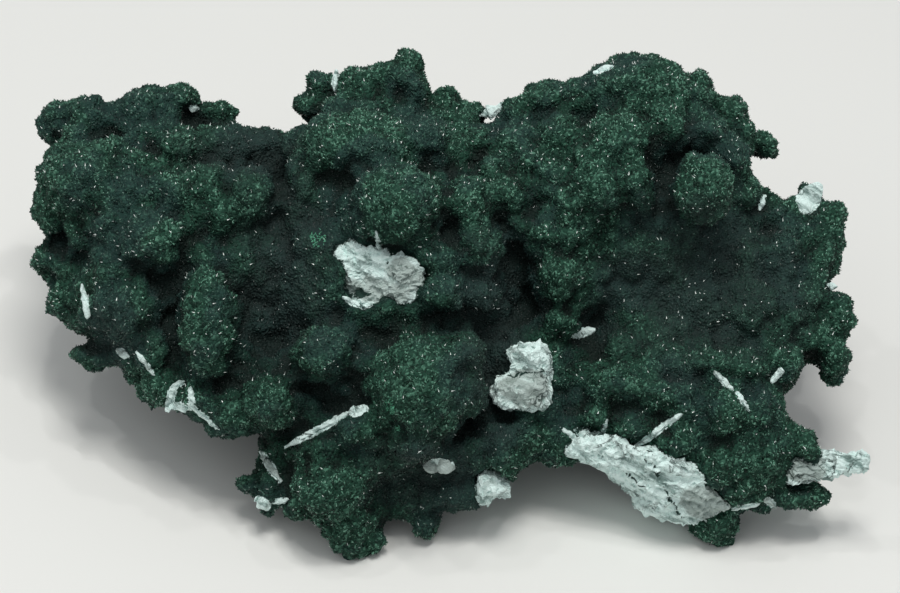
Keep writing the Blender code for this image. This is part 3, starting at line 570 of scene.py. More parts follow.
break_surface(rock.data)
print("the rock's ledges are", round(LEDGE * LEDGE_SHARE / MM, 2), "mm high")

# %% [markdown]
# ## Small places where the crust is broken
#
# Besides the rock itself, the specimen shows thin pale edges and chips where a lump has broken.  Each
# is given as it is seen: across and up the picture in millimetres, half its length, half its width and
# its turn.  Lines from the camera find where it lies on the skin, and a thin ragged block is bent along
# it there.  Every corner of the skin then remembers how far it is from the nearest such place: inside
# one the skin turns pale and no crystal grows.

# %% The broken places, as seen
BROKEN = {
    "left sliver": (-113.2, -1.5, 5.6, 1.2, 100),
    "ridge notch": (-79.5, 58.4, 1.6, 1.2, 0),
    "top sliver": (-35.5, 67.0, 3.4, 1.2, 85),
    "saddle chip": (13.5, 57.6, 4.6, 2.6, 20),
    "crest chip": (47.5, 70.4, 3.4, 1.2, 22),
    "right ledge": (111.2, 30.0, 6.2, 4.0, 54),
    "right ledge sliver": (96.8, 29.2, 2.6, 1.2, 70),
    "right gap": (118.4, 3.2, 1.8, 1.5, 0),
    "valley chip": (40.0, -11.3, 5.2, 1.7, 12),
    "long white edge": (-39.5, -40.6, 13.4, 1.25, 28),
    "end of long edge": (-28.6, -35.4, 3.4, 1.7, 12),
    "ring left": (-86.6, -31.6, 4.2, 1.5, 75),
    "ring bottom": (-83.6, -34.2, 3.8, 1.6, 0),
    "ring top": (-84.2, -27.2, 2.2, 0.9, 20),
    "ring right": (-80.2, -31.5, 3.4, 1.1, 100),
    "under edge": (-76.5, -37.0, 6.4, 1.0, -40),
    "thin line left": (-94.5, -20.8, 4.8, 0.9, -52),
    "lobe root": (-101.6, -17.6, 2.4, 1.3, -30),
    "small block edge": (-55.8, -52.6, 5.8, 1.5, -56),
    "knob foot": (-58.2, -64.2, 2.8, 1.9, -35),
    "knob foot right": (-52.6, -63.4, 2.6, 1.0, 15),
    "grey chip": (-3.4, -52.8, 5.0, 2.6, 0),
    "white ridge": (65.1, -41.2, 12.4, 1.1, 37),
    "fin by the face": (47.5, -41.7, 3.8, 0.9, 72),
    "fin left of the face": (38.6, -43.8, 4.6, 1.0, -36),
    "curved line high": (84.8, -26.2, 4.4, 0.95, -46),
    "curved line low": (90.8, -32.6, 3.6, 0.9, -58),
    "right chip": (101.4, -24.6, 2.8, 1.2, 50),
    "slab chip": (99.4, -64.0, 2.2, 1.4, -40),
    "face trail": (91.6, -65.2, 4.4, 0.9, 12),
    "valley rim": (22.0, -34.5, 6.0, 1.2, 0),
    "patch top": (-22.4, 17.5, 3.0, 0.8, 100),
    "patch hook": (-30.2, -1.9, 3.6, 1.0, -30),
}
# Which of them are grey with dust rather than white, from 0 to 1.
DIM = {
    "grey chip": 1.0, "small block edge": 0.7, "curved line high": 0.6, "ridge notch": 0.5,
    "face trail": 0.6, "lobe root": 0.6, "slab chip": 0.7, "thin line left": 0.5, "right chip": 0.4,
    "fin left of the face": 0.4,
}
# Small spots of paler green crystals.
GREEN_SPOTS = {
    "spot by the patch": (-41.0, 18.0, 2.6, 3.2, 0),
    "spot low": (-18.2, -34.0, 2.0, 2.6, 0),
    "spot lowest": (-15.2, -41.0, 1.8, 1.0, 0),
}
# Broad places of painted shade: across, up, half width, half height and how strong, from 0 to 1.
SHADED_PLACES = {
    "right hollow": (80.0, 4.0, 29.0, 22.0, 1.0),
    "ridge behind the left lobe": (-63.0, 45.0, 17.0, 9.0, 0.8),
    "left hollow": (-51.0, 10.0, 14.0, 24.0, 0.9),
    "valley": (13.0, -14.0, 9.0, 30.0, 0.9),
    "low recess": (-8.0, -56.0, 16.0, 12.0, 0.9),
    "under the left lobe": (-106.0, -10.0, 12.0, 9.0, 0.5),
}
print(len(BROKEN), "broken places,", len(GREEN_SPOTS), "green spots and", len(SHADED_PLACES), "dull places")

# %% Find places on the skin
EYE = camera.location.copy()
FAR_FROM_SPOTS = 6.0
SPOT_DEPTH = 5.0 * MM


def tree_of(mesh):
    """A search tree over the mesh's faces."""
    bm = bmesh.new()
    bm.from_mesh(mesh)
    tree = BVHTree.FromBMesh(bm)
    bm.free()
    return tree


def aimed_at(across, up):
    """The point seen at this place that is as far away as the camera's target."""
    return VIEW_TARGET + ACROSS * (across * MM) + UP * (up * MM)


def first_hit(tree, aim):
    """Where the line from the eye through this point meets the skin, or None."""
    return tree.ray_cast(EYE, (aim - EYE).normalized())[0]


def turned_ways(turn):
    """The directions along and across something that is turned this many degrees in the view."""
    angle = math.radians(turn)
    long_way = ACROSS * math.cos(angle) + UP * math.sin(angle)
    wide_way = UP * math.cos(angle) - ACROSS * math.sin(angle)
    return long_way, wide_way


def seat_spots(spots, tree):
    """Where each spot lies on the skin, with its own length and width directions."""
    seated = []
    for name, (across, up, half_long, half_wide, turn) in spots.items():
        hit = first_hit(tree, aimed_at(across, up))
        if hit is None:
            print("only air behind the middle of", name)
            continue
        long_way, wide_way = turned_ways(turn)
        seated.append((hit, long_way, wide_way, half_long * MM, half_wide * MM))
    return seated


def distance_to_spots(places, seated):
    """About how far each place is outside the nearest spot, in millimetres: below 0 inside."""
    nearest = np.full(len(places), FAR_FROM_SPOTS)
    for centre, long_way, wide_way, half_long, half_wide in seated:
        away = places - np.array(centre)
        along = away @ np.array(long_way) / half_long
        beside = away @ np.array(wide_way) / half_wide
        deep = away @ np.array(OUT) / (half_wide + SPOT_DEPTH)
        size = np.sqrt(along ** 2 + beside ** 2 + deep ** 2)
        nearest = np.minimum(nearest, (size - 1.0) * half_wide / MM)
    return nearest


def remember(mesh, name, values):
    """Keep a number for each corner of the mesh."""
    kept = mesh.attributes.new(name, "FLOAT", "POINT")
    kept.data.foreach_set("value", values)


mass_tree = tree_of(mass.data)
mass_places, mass_ways = arrays_of(mass.data)
broken_spots = seat_spots(BROKEN, mass_tree)
green_spots = seat_spots(GREEN_SPOTS, mass_tree)
remember(mass.data, "broken", distance_to_spots(mass_places, broken_spots))
print(len(broken_spots), "broken places and", len(green_spots), "green spots found on the skin")

# %% Bend thin ragged blocks along the broken edges
CHIP_STEPS = 17
CHIP_THICK = 1.1 * MM
CHIP_JUMP = 2.5 * MM
CHIP_WIDTH_SIZE = 2.4 * MM
CHIP_RAGGED = 0.45 * MM
CHIP_RAGGED_SIZE = 1.6 * MM


def follow_skin(tree, across, up, half_long, turn, steps):
    """Points on the skin along a spot's length, kept from jumping far in or out."""
    angle = math.radians(turn)
    found = []
    for step in range(steps):
        slide = (2.0 * step / (steps - 1) - 1.0) * half_long
        aim = aimed_at(across + slide * math.cos(angle), up + slide * math.sin(angle))
        found.append((aim, first_hit(tree, aim)))
    outs = sorted((hit - aim).dot(OUT) for aim, hit in found if hit is not None)
    if not outs:
        return []
    middle = outs[len(outs) // 2]
    points = []
    for aim, hit in found:
        out = middle if hit is None else (hit - aim).dot(OUT)
        out = max(middle - CHIP_JUMP, min(middle + CHIP_JUMP, out))
        points.append(aim + (EYE - aim).normalized() * out)
    return points


def edges_along(verts, axis):
    """The long edges that run along one axis of a block of two by two by two, each once."""
    edges = dict.fromkeys(edge for vert in verts for edge in vert.link_edges)
    return [edge for edge in edges if abs(edge.verts[0].co[axis] - edge.verts[1].co[axis]) > 1.0]


def add_chip(bm, points, wide_way, half_wide, dim):
    """A thin ragged edge of broken rock that follows these points: a subdivided block, bent.

    It narrows towards its ends, thins out towards its sides, and its width wanders along it.
    """
    dust_and_shade_layer = bm.verts.layers.float.get("dust_and_shade") or bm.verts.layers.float.new("dust_and_shade")
    made = bmesh.ops.create_cube(bm, size=2.0)["verts"]
    bmesh.ops.subdivide_edges(bm, edges=edges_along(made, 0), cuts=CHIP_STEPS - 2, use_grid_fill=True)
    verts = [vert for vert in bm.verts if not vert.tag]
    bmesh.ops.subdivide_edges(bm, edges=edges_along(verts, 1), cuts=3, use_grid_fill=True)
    for vert in bm.verts:
        if vert.tag:
            continue
        along = (vert.co.x + 1.0) * 0.5 * (len(points) - 1)
        before = min(int(along), len(points) - 2)
        centre = points[before].lerp(points[before + 1], along - before)
        taper = math.sqrt(max(0.04, 1.0 - vert.co.x ** 2)) ** 0.7
        width = half_wide * taper * (0.75 + 0.6 * noise.noise(centre / CHIP_WIDTH_SIZE))
        thick = CHIP_THICK * (1.0 - 0.6 * vert.co.y ** 2) * (0.7 + 0.3 * taper)
        place = centre + wide_way * (vert.co.y * width) + OUT * (vert.co.z * thick)
        vert.co = place + noise.noise_vector(place / CHIP_RAGGED_SIZE) * CHIP_RAGGED
        vert[dust_and_shade_layer] = dim
        vert.tag = True


chips_bm = bmesh.new()
for name, (across, up, half_long, half_wide, turn) in BROKEN.items():
    points = follow_skin(mass_tree, across, up, half_long, turn, CHIP_STEPS)
    if points:
        add_chip(chips_bm, points, turned_ways(turn)[1], half_wide * MM, DIM.get(name, 0.0))
bmesh.ops.recalc_face_normals(chips_bm, faces=chips_bm.faces)
chips = new_object("broken_edges", chips_bm)
print("broken edges:", len(chips.data.polygons), "faces")

# %% Find where shade is painted on the coat
SHADE_SOFTNESS = 0.45
SHADE_WANDER = 0.5
SHADE_WANDER_SIZE = 9.0 * MM


def painted_shade(places):
    """How much shade is painted on the coat at each place: the shaded places as seen, with wandering edges.
    """
    seen = places - np.array(VIEW_TARGET)
    out = seen @ np.array(OUT)
    nearer = VIEW_DISTANCE / (VIEW_DISTANCE - out)
    across = (seen @ np.array(ACROSS)) * nearer / MM
    up = (seen @ np.array(UP)) * nearer / MM
    wander = np.array([noise.noise(Vector(place) / SHADE_WANDER_SIZE) for place in places])
    found = np.zeros(len(places))
    for middle_across, middle_up, half_across, half_up, strength in SHADED_PLACES.values():
        size = np.hypot((across - middle_across) / half_across, (up - middle_up) / half_up)
        inside = (1.0 + SHADE_SOFTNESS - (size + wander * SHADE_WANDER)) / (2.0 * SHADE_SOFTNESS)
        found = np.maximum(found, strength * np.clip(inside, 0.0, 1.0))
    return found


# Painted shade: a number for each corner that greys and blues the green in the broad shaded places.
shaded = painted_shade(mass_places)
remember(mass.data, "shaded", shaded)
print("mean dullness", round(float(shaded.mean()), 3))

# %% [markdown]
# ## Dust and cracks on the rock
#
# The broken rock isn't evenly white.  Parts of it are grey with dust, one grey spot at the foot of the
# valley is painted shade, and dark cracks run into it where the green has crept along them.  All of these
# are given as seen, as the broken places are.  The rock is also stained where it meets the green mass.

# %% Find the dusty, the shaded and the cracked places on the rock
DUSTY_AND_SHADED = {
    "right of the broken face": (80.0, -64.5, 9.0, 5.0, -30),
    "foot of the middle": (-22.0, 2.0, 8.0, 3.5, -10),
    "root of the splinter": (110.0, -52.5, 5.5, 4.5, 0),
    "right of the middle": (-14.0, 6.5, 5.5, 4.0, -40),
    # Painted shade: greyed like the dust where the foot of the valley lies in shade.
    "painted shade at the valley foot": (23.3, -28.5, 7.5, 6.0, 0),
}
CRACKS = {
    "face crack": (65.1, -55.0, 8.0, 0.25, -66),
    "face crack above": (60.5, -50.5, 3.5, 0.2, -40),
    "face crack low": (70.5, -66.0, 3.5, 0.2, -50),
    "face crack by the fin": (57.5, -57.0, 3.0, 0.15, -35),
    "valley crack": (24.0, -23.6, 5.0, 0.3, 8),
    "middle crack": (-28.0, 0.9, 2.8, 1.0, 5),
}
# How far the dust, the painted shade and the cracks fade out, in millimetres, and how far their edges sway.
DUST_AND_SHADE_FADE = 2.0
CRACK_FADE = 0.45
EDGE_SWAY = 1.2 * MM
EDGE_SWAY_SIZE = 3.0 * MM
STAIN_REACH = 2.0 * MM
rock_tree = tree_of(rock.data)
rock_places, _ = arrays_of(rock.data)
sway = np.array([noise.noise_vector(Vector(place) / EDGE_SWAY_SIZE) for place in rock_places]) * EDGE_SWAY


def faded(spots, fade):
    """1 inside the spots on the rock, down to 0 this far outside them."""
    return 1.0 - np.clip(distance_to_spots(rock_places + sway, seat_spots(spots, rock_tree)) / fade, 0.0, 1.0)


stain = faded(CRACKS, CRACK_FADE)
for index in range(len(rock_places)):
    found = mass_tree.find_nearest(Vector(rock_places[index]), STAIN_REACH)
    if found[0] is not None:
        stain[index] = max(stain[index], 1.0 - found[3] / STAIN_REACH)
remember(rock.data, "dust_and_shade", faded(DUSTY_AND_SHADED, DUST_AND_SHADE_FADE))
remember(rock.data, "stain", stain)
print("mean stain on the rock", round(float(stain.mean()), 3))

# %% [markdown]
# ## How deep a place lies
#
# The colour paints shade into the hollows of the mass and light onto its crests: painted shade and
# painted light.  Each corner remembers how much of the mass stands around it, found by looking a short
# way out in six directions that lean out around its own.

# %% Measure the hollows
HOLLOW_LOOK = 22.0 * MM
HOLLOW_ROUNDS = 40
LOOK_START = 1.2 * MM
LOOK_ANGLES = np.linspace(0, 2 * math.pi, 7)[:6]
LOOK_WAYS = [Vector((math.cos(angle), math.sin(angle), 0.9)).normalized() for angle in LOOK_ANGLES]
CREST_SCALE = 2.4 * MM


def hollowness(places, ways, tree):
    """0 on open crests to 1 deep in hollows."""
    found = np.zeros(len(places))
    for index in range(len(places)):
        way = Vector(ways[index])
        start = Vector(places[index]) + way * LOOK_START
        turn = Vector((0.0, 0.0, 1.0)).rotation_difference(way)
        blocked = 0
        for look in LOOK_WAYS:
            if tree.ray_cast(start, turn @ look, HOLLOW_LOOK)[0] is not None:
                blocked += 1
        found[index] = blocked / len(LOOK_WAYS)
    return found


hollow = hollowness(mass_places, mass_ways, mass_tree)
hollow = averaged(hollow[:, None], edges_of(mass.data), HOLLOW_ROUNDS)[:, 0]
remember(mass.data, "hollow", hollow)
crest = np.clip(relief_of(mass.data, AVERAGE_ROUNDS) / CREST_SCALE, -0.5, 0.5) + knob_tops - 0.5
crest = averaged(crest[:, None], edges_of(mass.data), 1)[:, 0]
remember(mass.data, "crest", crest)
print("mean hollowness", round(float(hollow.mean()), 3))
print("crest from", round(float(crest.min()), 2), "to", round(float(crest.max()), 2))

# %% [markdown]
# ## The coat of crystals
#
# The velvet of the specimen is a coat of crystals a millimetre or two long, standing every way on the
# skin.  Each is a closed three-sided spike, half of it sunk in the skin.  They are scattered evenly by
# area, except where the crust is broken, on the faces it stands on, and inside the bed of the rock.
# A number kept for each crystal makes neighbours differ in colour and shine.  The few with the highest
# numbers are the glints: thinner, longer and more upright, with a painted highlight, a pale base colour.

# %% Grow the crystals
CRYSTALS = 160000
COATS = 4
CRYSTAL_LENGTH = (0.9 * MM, 1.9 * MM)
CRYSTAL_WIDTH = (0.32 * MM, 0.62 * MM)
SUNK = 0.5
LEAN = 0.8
SPARK = 0.978
SPARK_LENGTH = (1.1 * MM, 2.2 * MM)
SPARK_WIDTH = (0.26 * MM, 0.42 * MM)
SPARK_SUNK = 0.40
SPARK_LEAN = 0.35
UPRIGHT = np.array((0.0, 0.0, 0.45))
THIRD_OF_A_TURN = 2.0943951
# Crystals stay this far from the broken places, in millimetres, and from the floor and the rock.
BROKEN_CLEARANCE = 0.15
FLOOR_CLEARANCE = 0.7 * MM
ROCK_CLEARANCE = 1.0 * MM
rng = np.random.default_rng(11)


def scatter(mesh, count):
    """Random points on a mesh, evenly by area, with the direction of the face each lies on."""
    mesh.calc_loop_triangles()
    corners = np.empty(len(mesh.loop_triangles) * 3, dtype=np.int32)
    mesh.loop_triangles.foreach_get("vertices", corners)
    corners = corners.reshape(-1, 3)
    places, _ = arrays_of(mesh)
    first, second, third = (places[corners[:, k]] for k in range(3))
    sheet = np.cross(second - first, third - first)
    area = np.linalg.norm(sheet, axis=1)
    chosen = rng.choice(len(corners), size=count, p=area / area.sum())
    mix = rng.random((count, 2))
    flip = mix.sum(axis=1) > 1.0
    mix[flip] = 1.0 - mix[flip]
    points = first[chosen] + (second - first)[chosen] * mix[:, :1] + (third - first)[chosen] * mix[:, 1:]
    facing = sheet[chosen] / area[chosen, None]
    return points, facing, corners[chosen, 0]


def unit(rows):
    """Rows scaled to length one."""
    return rows / np.linalg.norm(rows, axis=1)[:, None]


def spikes(points, facing, length, width, sunk, lean):
    """Corners of closed three-sided spikes: three around the foot, then the tip."""
    count = len(points)
    axis = unit(facing + UPRIGHT + rng.normal(size=(count, 3)) * lean[:, None])
    side = unit(np.cross(axis, unit(rng.normal(size=(count, 3)))))
    other = np.cross(axis, side)
    foot = points - axis * (length * sunk)[:, None]
    tip = foot + axis * length[:, None]
    rings = []
    for corner in range(3):
        turn = corner * THIRD_OF_A_TURN
        rings.append(foot + (side * math.cos(turn) + other * math.sin(turn)) * width[:, None])
    return np.stack(rings + [tip], axis=1)


points, facing, nearest_corner = scatter(mass.data, CRYSTALS)
keep = distance_to_spots(points, broken_spots) > BROKEN_CLEARANCE
keep &= points[:, 2] > FLOOR_CLEARANCE
bedded = np.array([
    rock_tree.find_nearest(Vector(place), ROCK_CLEARANCE)[0] is not None for place in points[keep]
])
standing = np.flatnonzero(keep)[~bedded]
points, facing, nearest_corner = points[standing], facing[standing], nearest_corner[standing]
print(len(points), "crystals stand on the skin")

# %% Join the crystals into a few meshes
SPIKE_FACES = np.array([(0, 1, 3), (1, 2, 3), (2, 0, 3), (0, 2, 1)])
BOX_MARGIN = 0.02 * MM
BOX_LOW = np.array(CAD_LOW) + BOX_MARGIN
BOX_HIGH = np.array(CAD_HIGH) - BOX_MARGIN


def coat_mesh(name, corners, numbers):
    """One mesh of many spikes, with each spike's numbers kept on its faces."""
    count = len(corners)
    faces = (SPIKE_FACES[None] + np.arange(count)[:, None, None] * 4).reshape(-1, 3)
    mesh = bpy.data.meshes.new(name)
    mesh.vertices.add(count * 4)
    mesh.vertices.foreach_set("co", corners.reshape(-1))
    mesh.loops.add(len(faces) * 3)
    mesh.loops.foreach_set("vertex_index", faces.ravel().astype(np.int32))
    mesh.polygons.add(len(faces))
    mesh.polygons.foreach_set("loop_start", np.arange(0, len(faces) * 3, 3, dtype=np.int32))
    mesh.polygons.foreach_set("loop_total", np.full(len(faces), 3, dtype=np.int32))
    mesh.update(calc_edges=True)
    mesh.validate()
    for label, values in numbers.items():
        kept = mesh.attributes.new(label, "FLOAT", "FACE")
        kept.data.foreach_set("value", np.repeat(values, 4))
    made = bpy.data.objects.new(name, mesh)
    bpy.context.scene.collection.objects.link(made)
    return made


shade = rng.random(len(points))
is_spark = shade > SPARK
length = rng.uniform(*CRYSTAL_LENGTH, size=len(points))
width = rng.uniform(*CRYSTAL_WIDTH, size=len(points))
length = np.where(is_spark, rng.uniform(*SPARK_LENGTH, size=len(points)), length)
width = np.where(is_spark, rng.uniform(*SPARK_WIDTH, size=len(points)), width)
sunk = np.where(is_spark, SPARK_SUNK, SUNK)
lean = np.where(is_spark, SPARK_LEAN, LEAN)
corners = spikes(points, facing, length, width, sunk, lean)
corners = np.clip(corners, BOX_LOW, BOX_HIGH)
numbers = {
    "shade": shade,
    "hollow": hollow[nearest_corner],
    "crest": crest[nearest_corner],
    "shaded": shaded[nearest_corner],
    "bloom": distance_to_spots(points, green_spots),
}
order = np.argsort(points[:, 0])
coats = []
for number, part in enumerate(np.array_split(order, COATS)):
    name = "crystal_coat_" + str(number + 1)
    kept_here = {label: values[part] for label, values in numbers.items()}
    coats.append(coat_mesh(name, corners[part], kept_here))
    print(name, len(part) * 4, "triangles")

# %% [markdown]
# ## Materials
#
# Shared effects are node groups.  The green's group gives its colour: painted shade, near black and
# bluer, in the hollows, deep green on the flanks, painted light as a brighter green on the crests, slow
# patches that lean to blue, and broad places of painted shade, greyer and bluer.  The rock's group gives
# mint white with streaked grey clouds, flecks, dust and one spot of painted shade, thin dark veins and
# the stain where the green has crept in.

# %% Helpers for node groups


def new_group(name, numbers, colours, outputs):
    """A shader node group that takes a place, these numbers and these colours."""
    group = bpy.data.node_groups.new(name, "ShaderNodeTree")
    group.interface.new_socket("Place", in_out="INPUT", socket_type="NodeSocketVector")
    for label, value in numbers.items():
        made = group.interface.new_socket(label, in_out="INPUT", socket_type="NodeSocketFloat")
        made.default_value = value
    for label, colour in colours.items():
        made = group.interface.new_socket(label, in_out="INPUT", socket_type="NodeSocketColor")
        made.default_value = (*colour, 1.0)
    for label, kind in outputs.items():
        group.interface.new_socket(label, in_out="OUTPUT", socket_type=kind)
    given = group.nodes.new("NodeGroupInput").outputs
    return group, given, group.nodes.new("NodeGroupOutput").inputs


def noise_node(tree, vector, scale, detail, roughness=0.55, distortion=0.0):
    """A noise texture at so many features per metre."""
    made = tree.nodes.new("ShaderNodeTexNoise")
    made.inputs["Scale"].default_value = scale
    made.inputs["Detail"].default_value = detail
    made.inputs["Roughness"].default_value = roughness
    made.inputs["Distortion"].default_value = distortion
    tree.links.new(vector, made.inputs["Vector"])
    return made.outputs["Fac"]


def feed(tree, socket, value):
    """Link a socket to another node, or set it to a plain number or an (r, g, b)."""
    if isinstance(value, tuple):
        socket.default_value = (*value, 1.0)
    elif isinstance(value, (int, float)):
        socket.default_value = value
    else:
        tree.links.new(value, socket)


def math_node(tree, operation, *values):
    """A math node whose inputs are sockets or plain numbers."""
    made = tree.nodes.new("ShaderNodeMath")
    made.operation = operation
    for socket, value in zip(made.inputs, values):
        feed(tree, socket, value)
    return made.outputs[0]


def plus(tree, first, second):
    """The sum of two values."""
    return math_node(tree, "ADD", first, second)


def minus(tree, first, second):
    """The first value less the second."""
    return math_node(tree, "SUBTRACT", first, second)


def times(tree, first, second):
    """The product of two values."""
    return math_node(tree, "MULTIPLY", first, second)


def blend_node(tree, amount, first, second):
    """A mix of two colours, each a socket or an (r, g, b)."""
    made = tree.nodes.new("ShaderNodeMix")
    made.data_type = "RGBA"
    for socket, value in ((made.inputs[0], amount), (made.inputs[6], first), (made.inputs[7], second)):
        feed(tree, socket, value)
    return made.outputs[2]


def range_node(tree, value, low, high, out_low=0.0, out_high=1.0):
    """A smooth step of a value from one range to another."""
    made = tree.nodes.new("ShaderNodeMapRange")
    made.interpolation_type = "SMOOTHSTEP"
    tree.links.new(value, made.inputs["Value"])
    made.inputs["From Min"].default_value = low
    made.inputs["From Max"].default_value = high
    made.inputs["To Min"].default_value = out_low
    made.inputs["To Max"].default_value = out_high
    return made.outputs["Result"]


# %% Green of the malachite
PATCHES_PER_METRE = 45.0
green, given, result = new_group(
    "Malachite colour",
    {"Hollow": 0.0, "Crest": 0.0, "Shaded": 0.0, "Shade": 0.5},
    {
        "Bright colour": (0.135, 0.315, 0.220),
        "Middle colour": (0.018, 0.064, 0.041),
        "Dark colour": (0.003, 0.012, 0.008),
        "Hollow shade colour": (0.0085, 0.0150, 0.0125),
        "Blue tone and shade": (0.018, 0.042, 0.041),
        "Shaded place colour": (0.024, 0.040, 0.038),
    },
    {"Colour": "NodeSocketColor", "Open": "NodeSocketFloat"},
)
# How open a place is: high on crests, low in hollows.  It sets the painted light and the painted shade below.
openness = minus(green, times(green, given["Crest"], 0.60), times(green, given["Hollow"], 0.95))
openness = range_node(green, openness, -0.95, 0.15)
# How much one crystal differs from the next: less in hollows and in the places of painted shade, as part of
# that shade.
spread = range_node(green, given["Hollow"], 0.15, 0.55, 0.74, 0.50)
spread = minus(green, spread, times(green, given["Shaded"], 0.14))
# Painted light: the more open a place, the nearer its crystals come to the bright colour.
level = plus(green, times(green, given["Shade"], spread), times(green, openness, 0.38))
body = blend_node(green, range_node(green, level, 0.20, 0.85), given["Dark colour"], given["Middle colour"])
body = blend_node(green, range_node(green, level, 0.72, 1.10), body, given["Bright colour"])
patches = noise_node(green, given["Place"], PATCHES_PER_METRE, 3.0)
blue_patches = range_node(green, patches, 0.46, 0.62, 0.0, 0.6)
# Painted shade: the hollows lean to blue, as the slow patches of real tone do.
blue_hollow_shade = range_node(green, given["Hollow"], 0.30, 0.60, 0.0, 0.65)
body = blend_node(green, math_node(green, "MAXIMUM", blue_patches, blue_hollow_shade), body, given["Blue tone and shade"])
# Painted shade: near black where a place is least open.
body = blend_node(green, range_node(green, openness, 0.0, 0.4, 0.8, 0.0), body, given["Hollow shade colour"])
# Painted shade: the broad shaded places turn greyer and bluer.
body = blend_node(green, times(green, given["Shaded"], 0.62), body, given["Shaded place colour"])
green.links.new(body, result["Colour"])
green.links.new(openness, result["Open"])
print("green group:", len(green.nodes), "nodes")

# %% Pale rock
CLOUDS_PER_METRE = 260.0
FLECKS_PER_METRE = 1000.0
VEINS_PER_METRE = 95.0
VEINED_PLACES_PER_METRE = 60.0
CREEP_PER_METRE = 75.0
pale, given, result = new_group(
    "Broken rock",
    {"Stain": 0.0, "Dust_and_shade": 0.0},
    {
        "Greyed colour": (0.34, 0.40, 0.37),
        "Light colour": (0.80, 0.97, 0.93),
        "Cloud colour": (0.22, 0.32, 0.295),
        "Vein colour": (0.018, 0.045, 0.036),
    },
    {"Colour": "NodeSocketColor", "Height": "NodeSocketFloat"},
)


def vector_node(tree, operation, first, second):
    """A vector math node: each input is a socket or a fixed vector."""
    made = tree.nodes.new("ShaderNodeVectorMath")
    made.operation = operation
    for socket, value in zip(made.inputs, (first, second)):
        if isinstance(value, Vector):
            socket.default_value = value
        else:
            tree.links.new(value, socket)
    return made


# Leaving out most of the length along the fibres draws the clouds out into streaks.
along = vector_node(pale, "DOT_PRODUCT", given["Place"], FIBRE_AXIS).outputs["Value"]
left_out = pale.nodes.new("ShaderNodeVectorMath")
left_out.operation = "SCALE"
left_out.inputs[0].default_value = FIBRE_AXIS * 0.7
pale.links.new(along, left_out.inputs["Scale"])
streaked = vector_node(pale, "SUBTRACT", given["Place"], left_out.outputs["Vector"]).outputs["Vector"]

clouds = noise_node(pale, streaked, CLOUDS_PER_METRE, 7.0, 0.70)
fleck = noise_node(pale, given["Place"], FLECKS_PER_METRE, 3.0, 0.7)
cloudy = range_node(pale, clouds, 0.49, 0.66)
flecked = range_node(pale, fleck, 0.58, 0.78, 0.0, 0.6)
rock_colour = blend_node(pale, cloudy, given["Light colour"], given["Cloud colour"])
rock_colour = blend_node(pale, flecked, rock_colour, given["Cloud colour"])
# Dust greys the rock where its dust number is high or the clouds are thick; one such spot is painted shade.
dust_and_shade = plus(pale, given["Dust_and_shade"], times(pale, minus(pale, clouds, 0.5), 2.6))
dust_and_shade = range_node(pale, dust_and_shade, 0.35, 0.95, 0.0, 0.75)
rock_colour = blend_node(pale, dust_and_shade, rock_colour, given["Greyed colour"])
# A vein runs where the noise crosses its middle value, and only in some places.
thread = minus(pale, noise_node(pale, given["Place"], VEINS_PER_METRE, 5.0, 0.6, 1.2), 0.5)
thread = math_node(pale, "ABSOLUTE", thread)
veined_places = range_node(pale, noise_node(pale, given["Place"], VEINED_PLACES_PER_METRE, 2.0), 0.50, 0.64)
vein = times(pale, range_node(pale, thread, 0.006, 0.030, 0.85, 0.0), veined_places)
rock_colour = blend_node(pale, vein, rock_colour, given["Vein colour"])
creep = noise_node(pale, given["Place"], CREEP_PER_METRE, 4.0, 0.62)
creep = range_node(pale, creep, 0.58, 0.74, 0.0, 0.75)
edge = plus(pale, plus(pale, given["Stain"], creep), times(pale, minus(pale, fleck, 0.5), 1.4))
rock_colour = blend_node(pale, range_node(pale, edge, 0.60, 0.85), rock_colour, given["Vein colour"])
height = minus(pale, plus(pale, clouds, times(pale, fleck, 0.5)), times(pale, vein, 0.6))
pale.links.new(rock_colour, result["Colour"])
pale.links.new(height, result["Height"])
print("rock group:", len(pale.nodes), "nodes")


# %% Helpers for materials
def material(name):
    """A new material, its tree and its shader."""
    made = bpy.data.materials.new(name)
    made.use_nodes = True
    return made, made.node_tree, made.node_tree.nodes["Principled BSDF"]


def kept_number(tree, name):
    """A number that the mesh keeps."""
    made = tree.nodes.new("ShaderNodeAttribute")
    made.attribute_name = name
    return made.outputs["Fac"]


def group_node(tree, group, place, kept, **values):
    """A use of a node group, fed with the place, with numbers that the mesh keeps and with others."""
    made = tree.nodes.new("ShaderNodeGroup")
    made.node_tree = group
    tree.links.new(place, made.inputs["Place"])
    for label in kept:
        tree.links.new(kept_number(tree, label.lower()), made.inputs[label])
    for label, value in values.items():
        tree.links.new(value, made.inputs[label])
    return made.outputs


def object_place(tree):
    """The place on the object, in metres."""
    return tree.nodes.new("ShaderNodeTexCoord").outputs["Object"]


def bump(tree, shader, height, distance):
    """Relief from a height."""
    made = tree.nodes.new("ShaderNodeBump")
    made.inputs["Distance"].default_value = distance
    tree.links.new(height, made.inputs["Height"])
    tree.links.new(made.outputs["Normal"], shader.inputs["Normal"])


def give_only(item, made):
    """Have the whole item made of one material."""
    item.data.materials.clear()
    item.data.materials.append(made)
    item.data.polygons.foreach_set("material_index", np.zeros(len(item.data.polygons), dtype=np.int32))


# %% Skin of the mass, between the crystals
CELLS_PER_METRE = 1100.0
RAGGED_EDGE_PER_METRE = 700.0
SKIN_RELIEF = 0.0007
skin_material, tree, shader = material("Malachite skin")
place = object_place(tree)
cells = tree.nodes.new("ShaderNodeTexVoronoi")
cells.inputs["Scale"].default_value = CELLS_PER_METRE
tree.links.new(place, cells.inputs["Vector"])
cell_shade = times(tree, cells.outputs["Color"], 0.85)
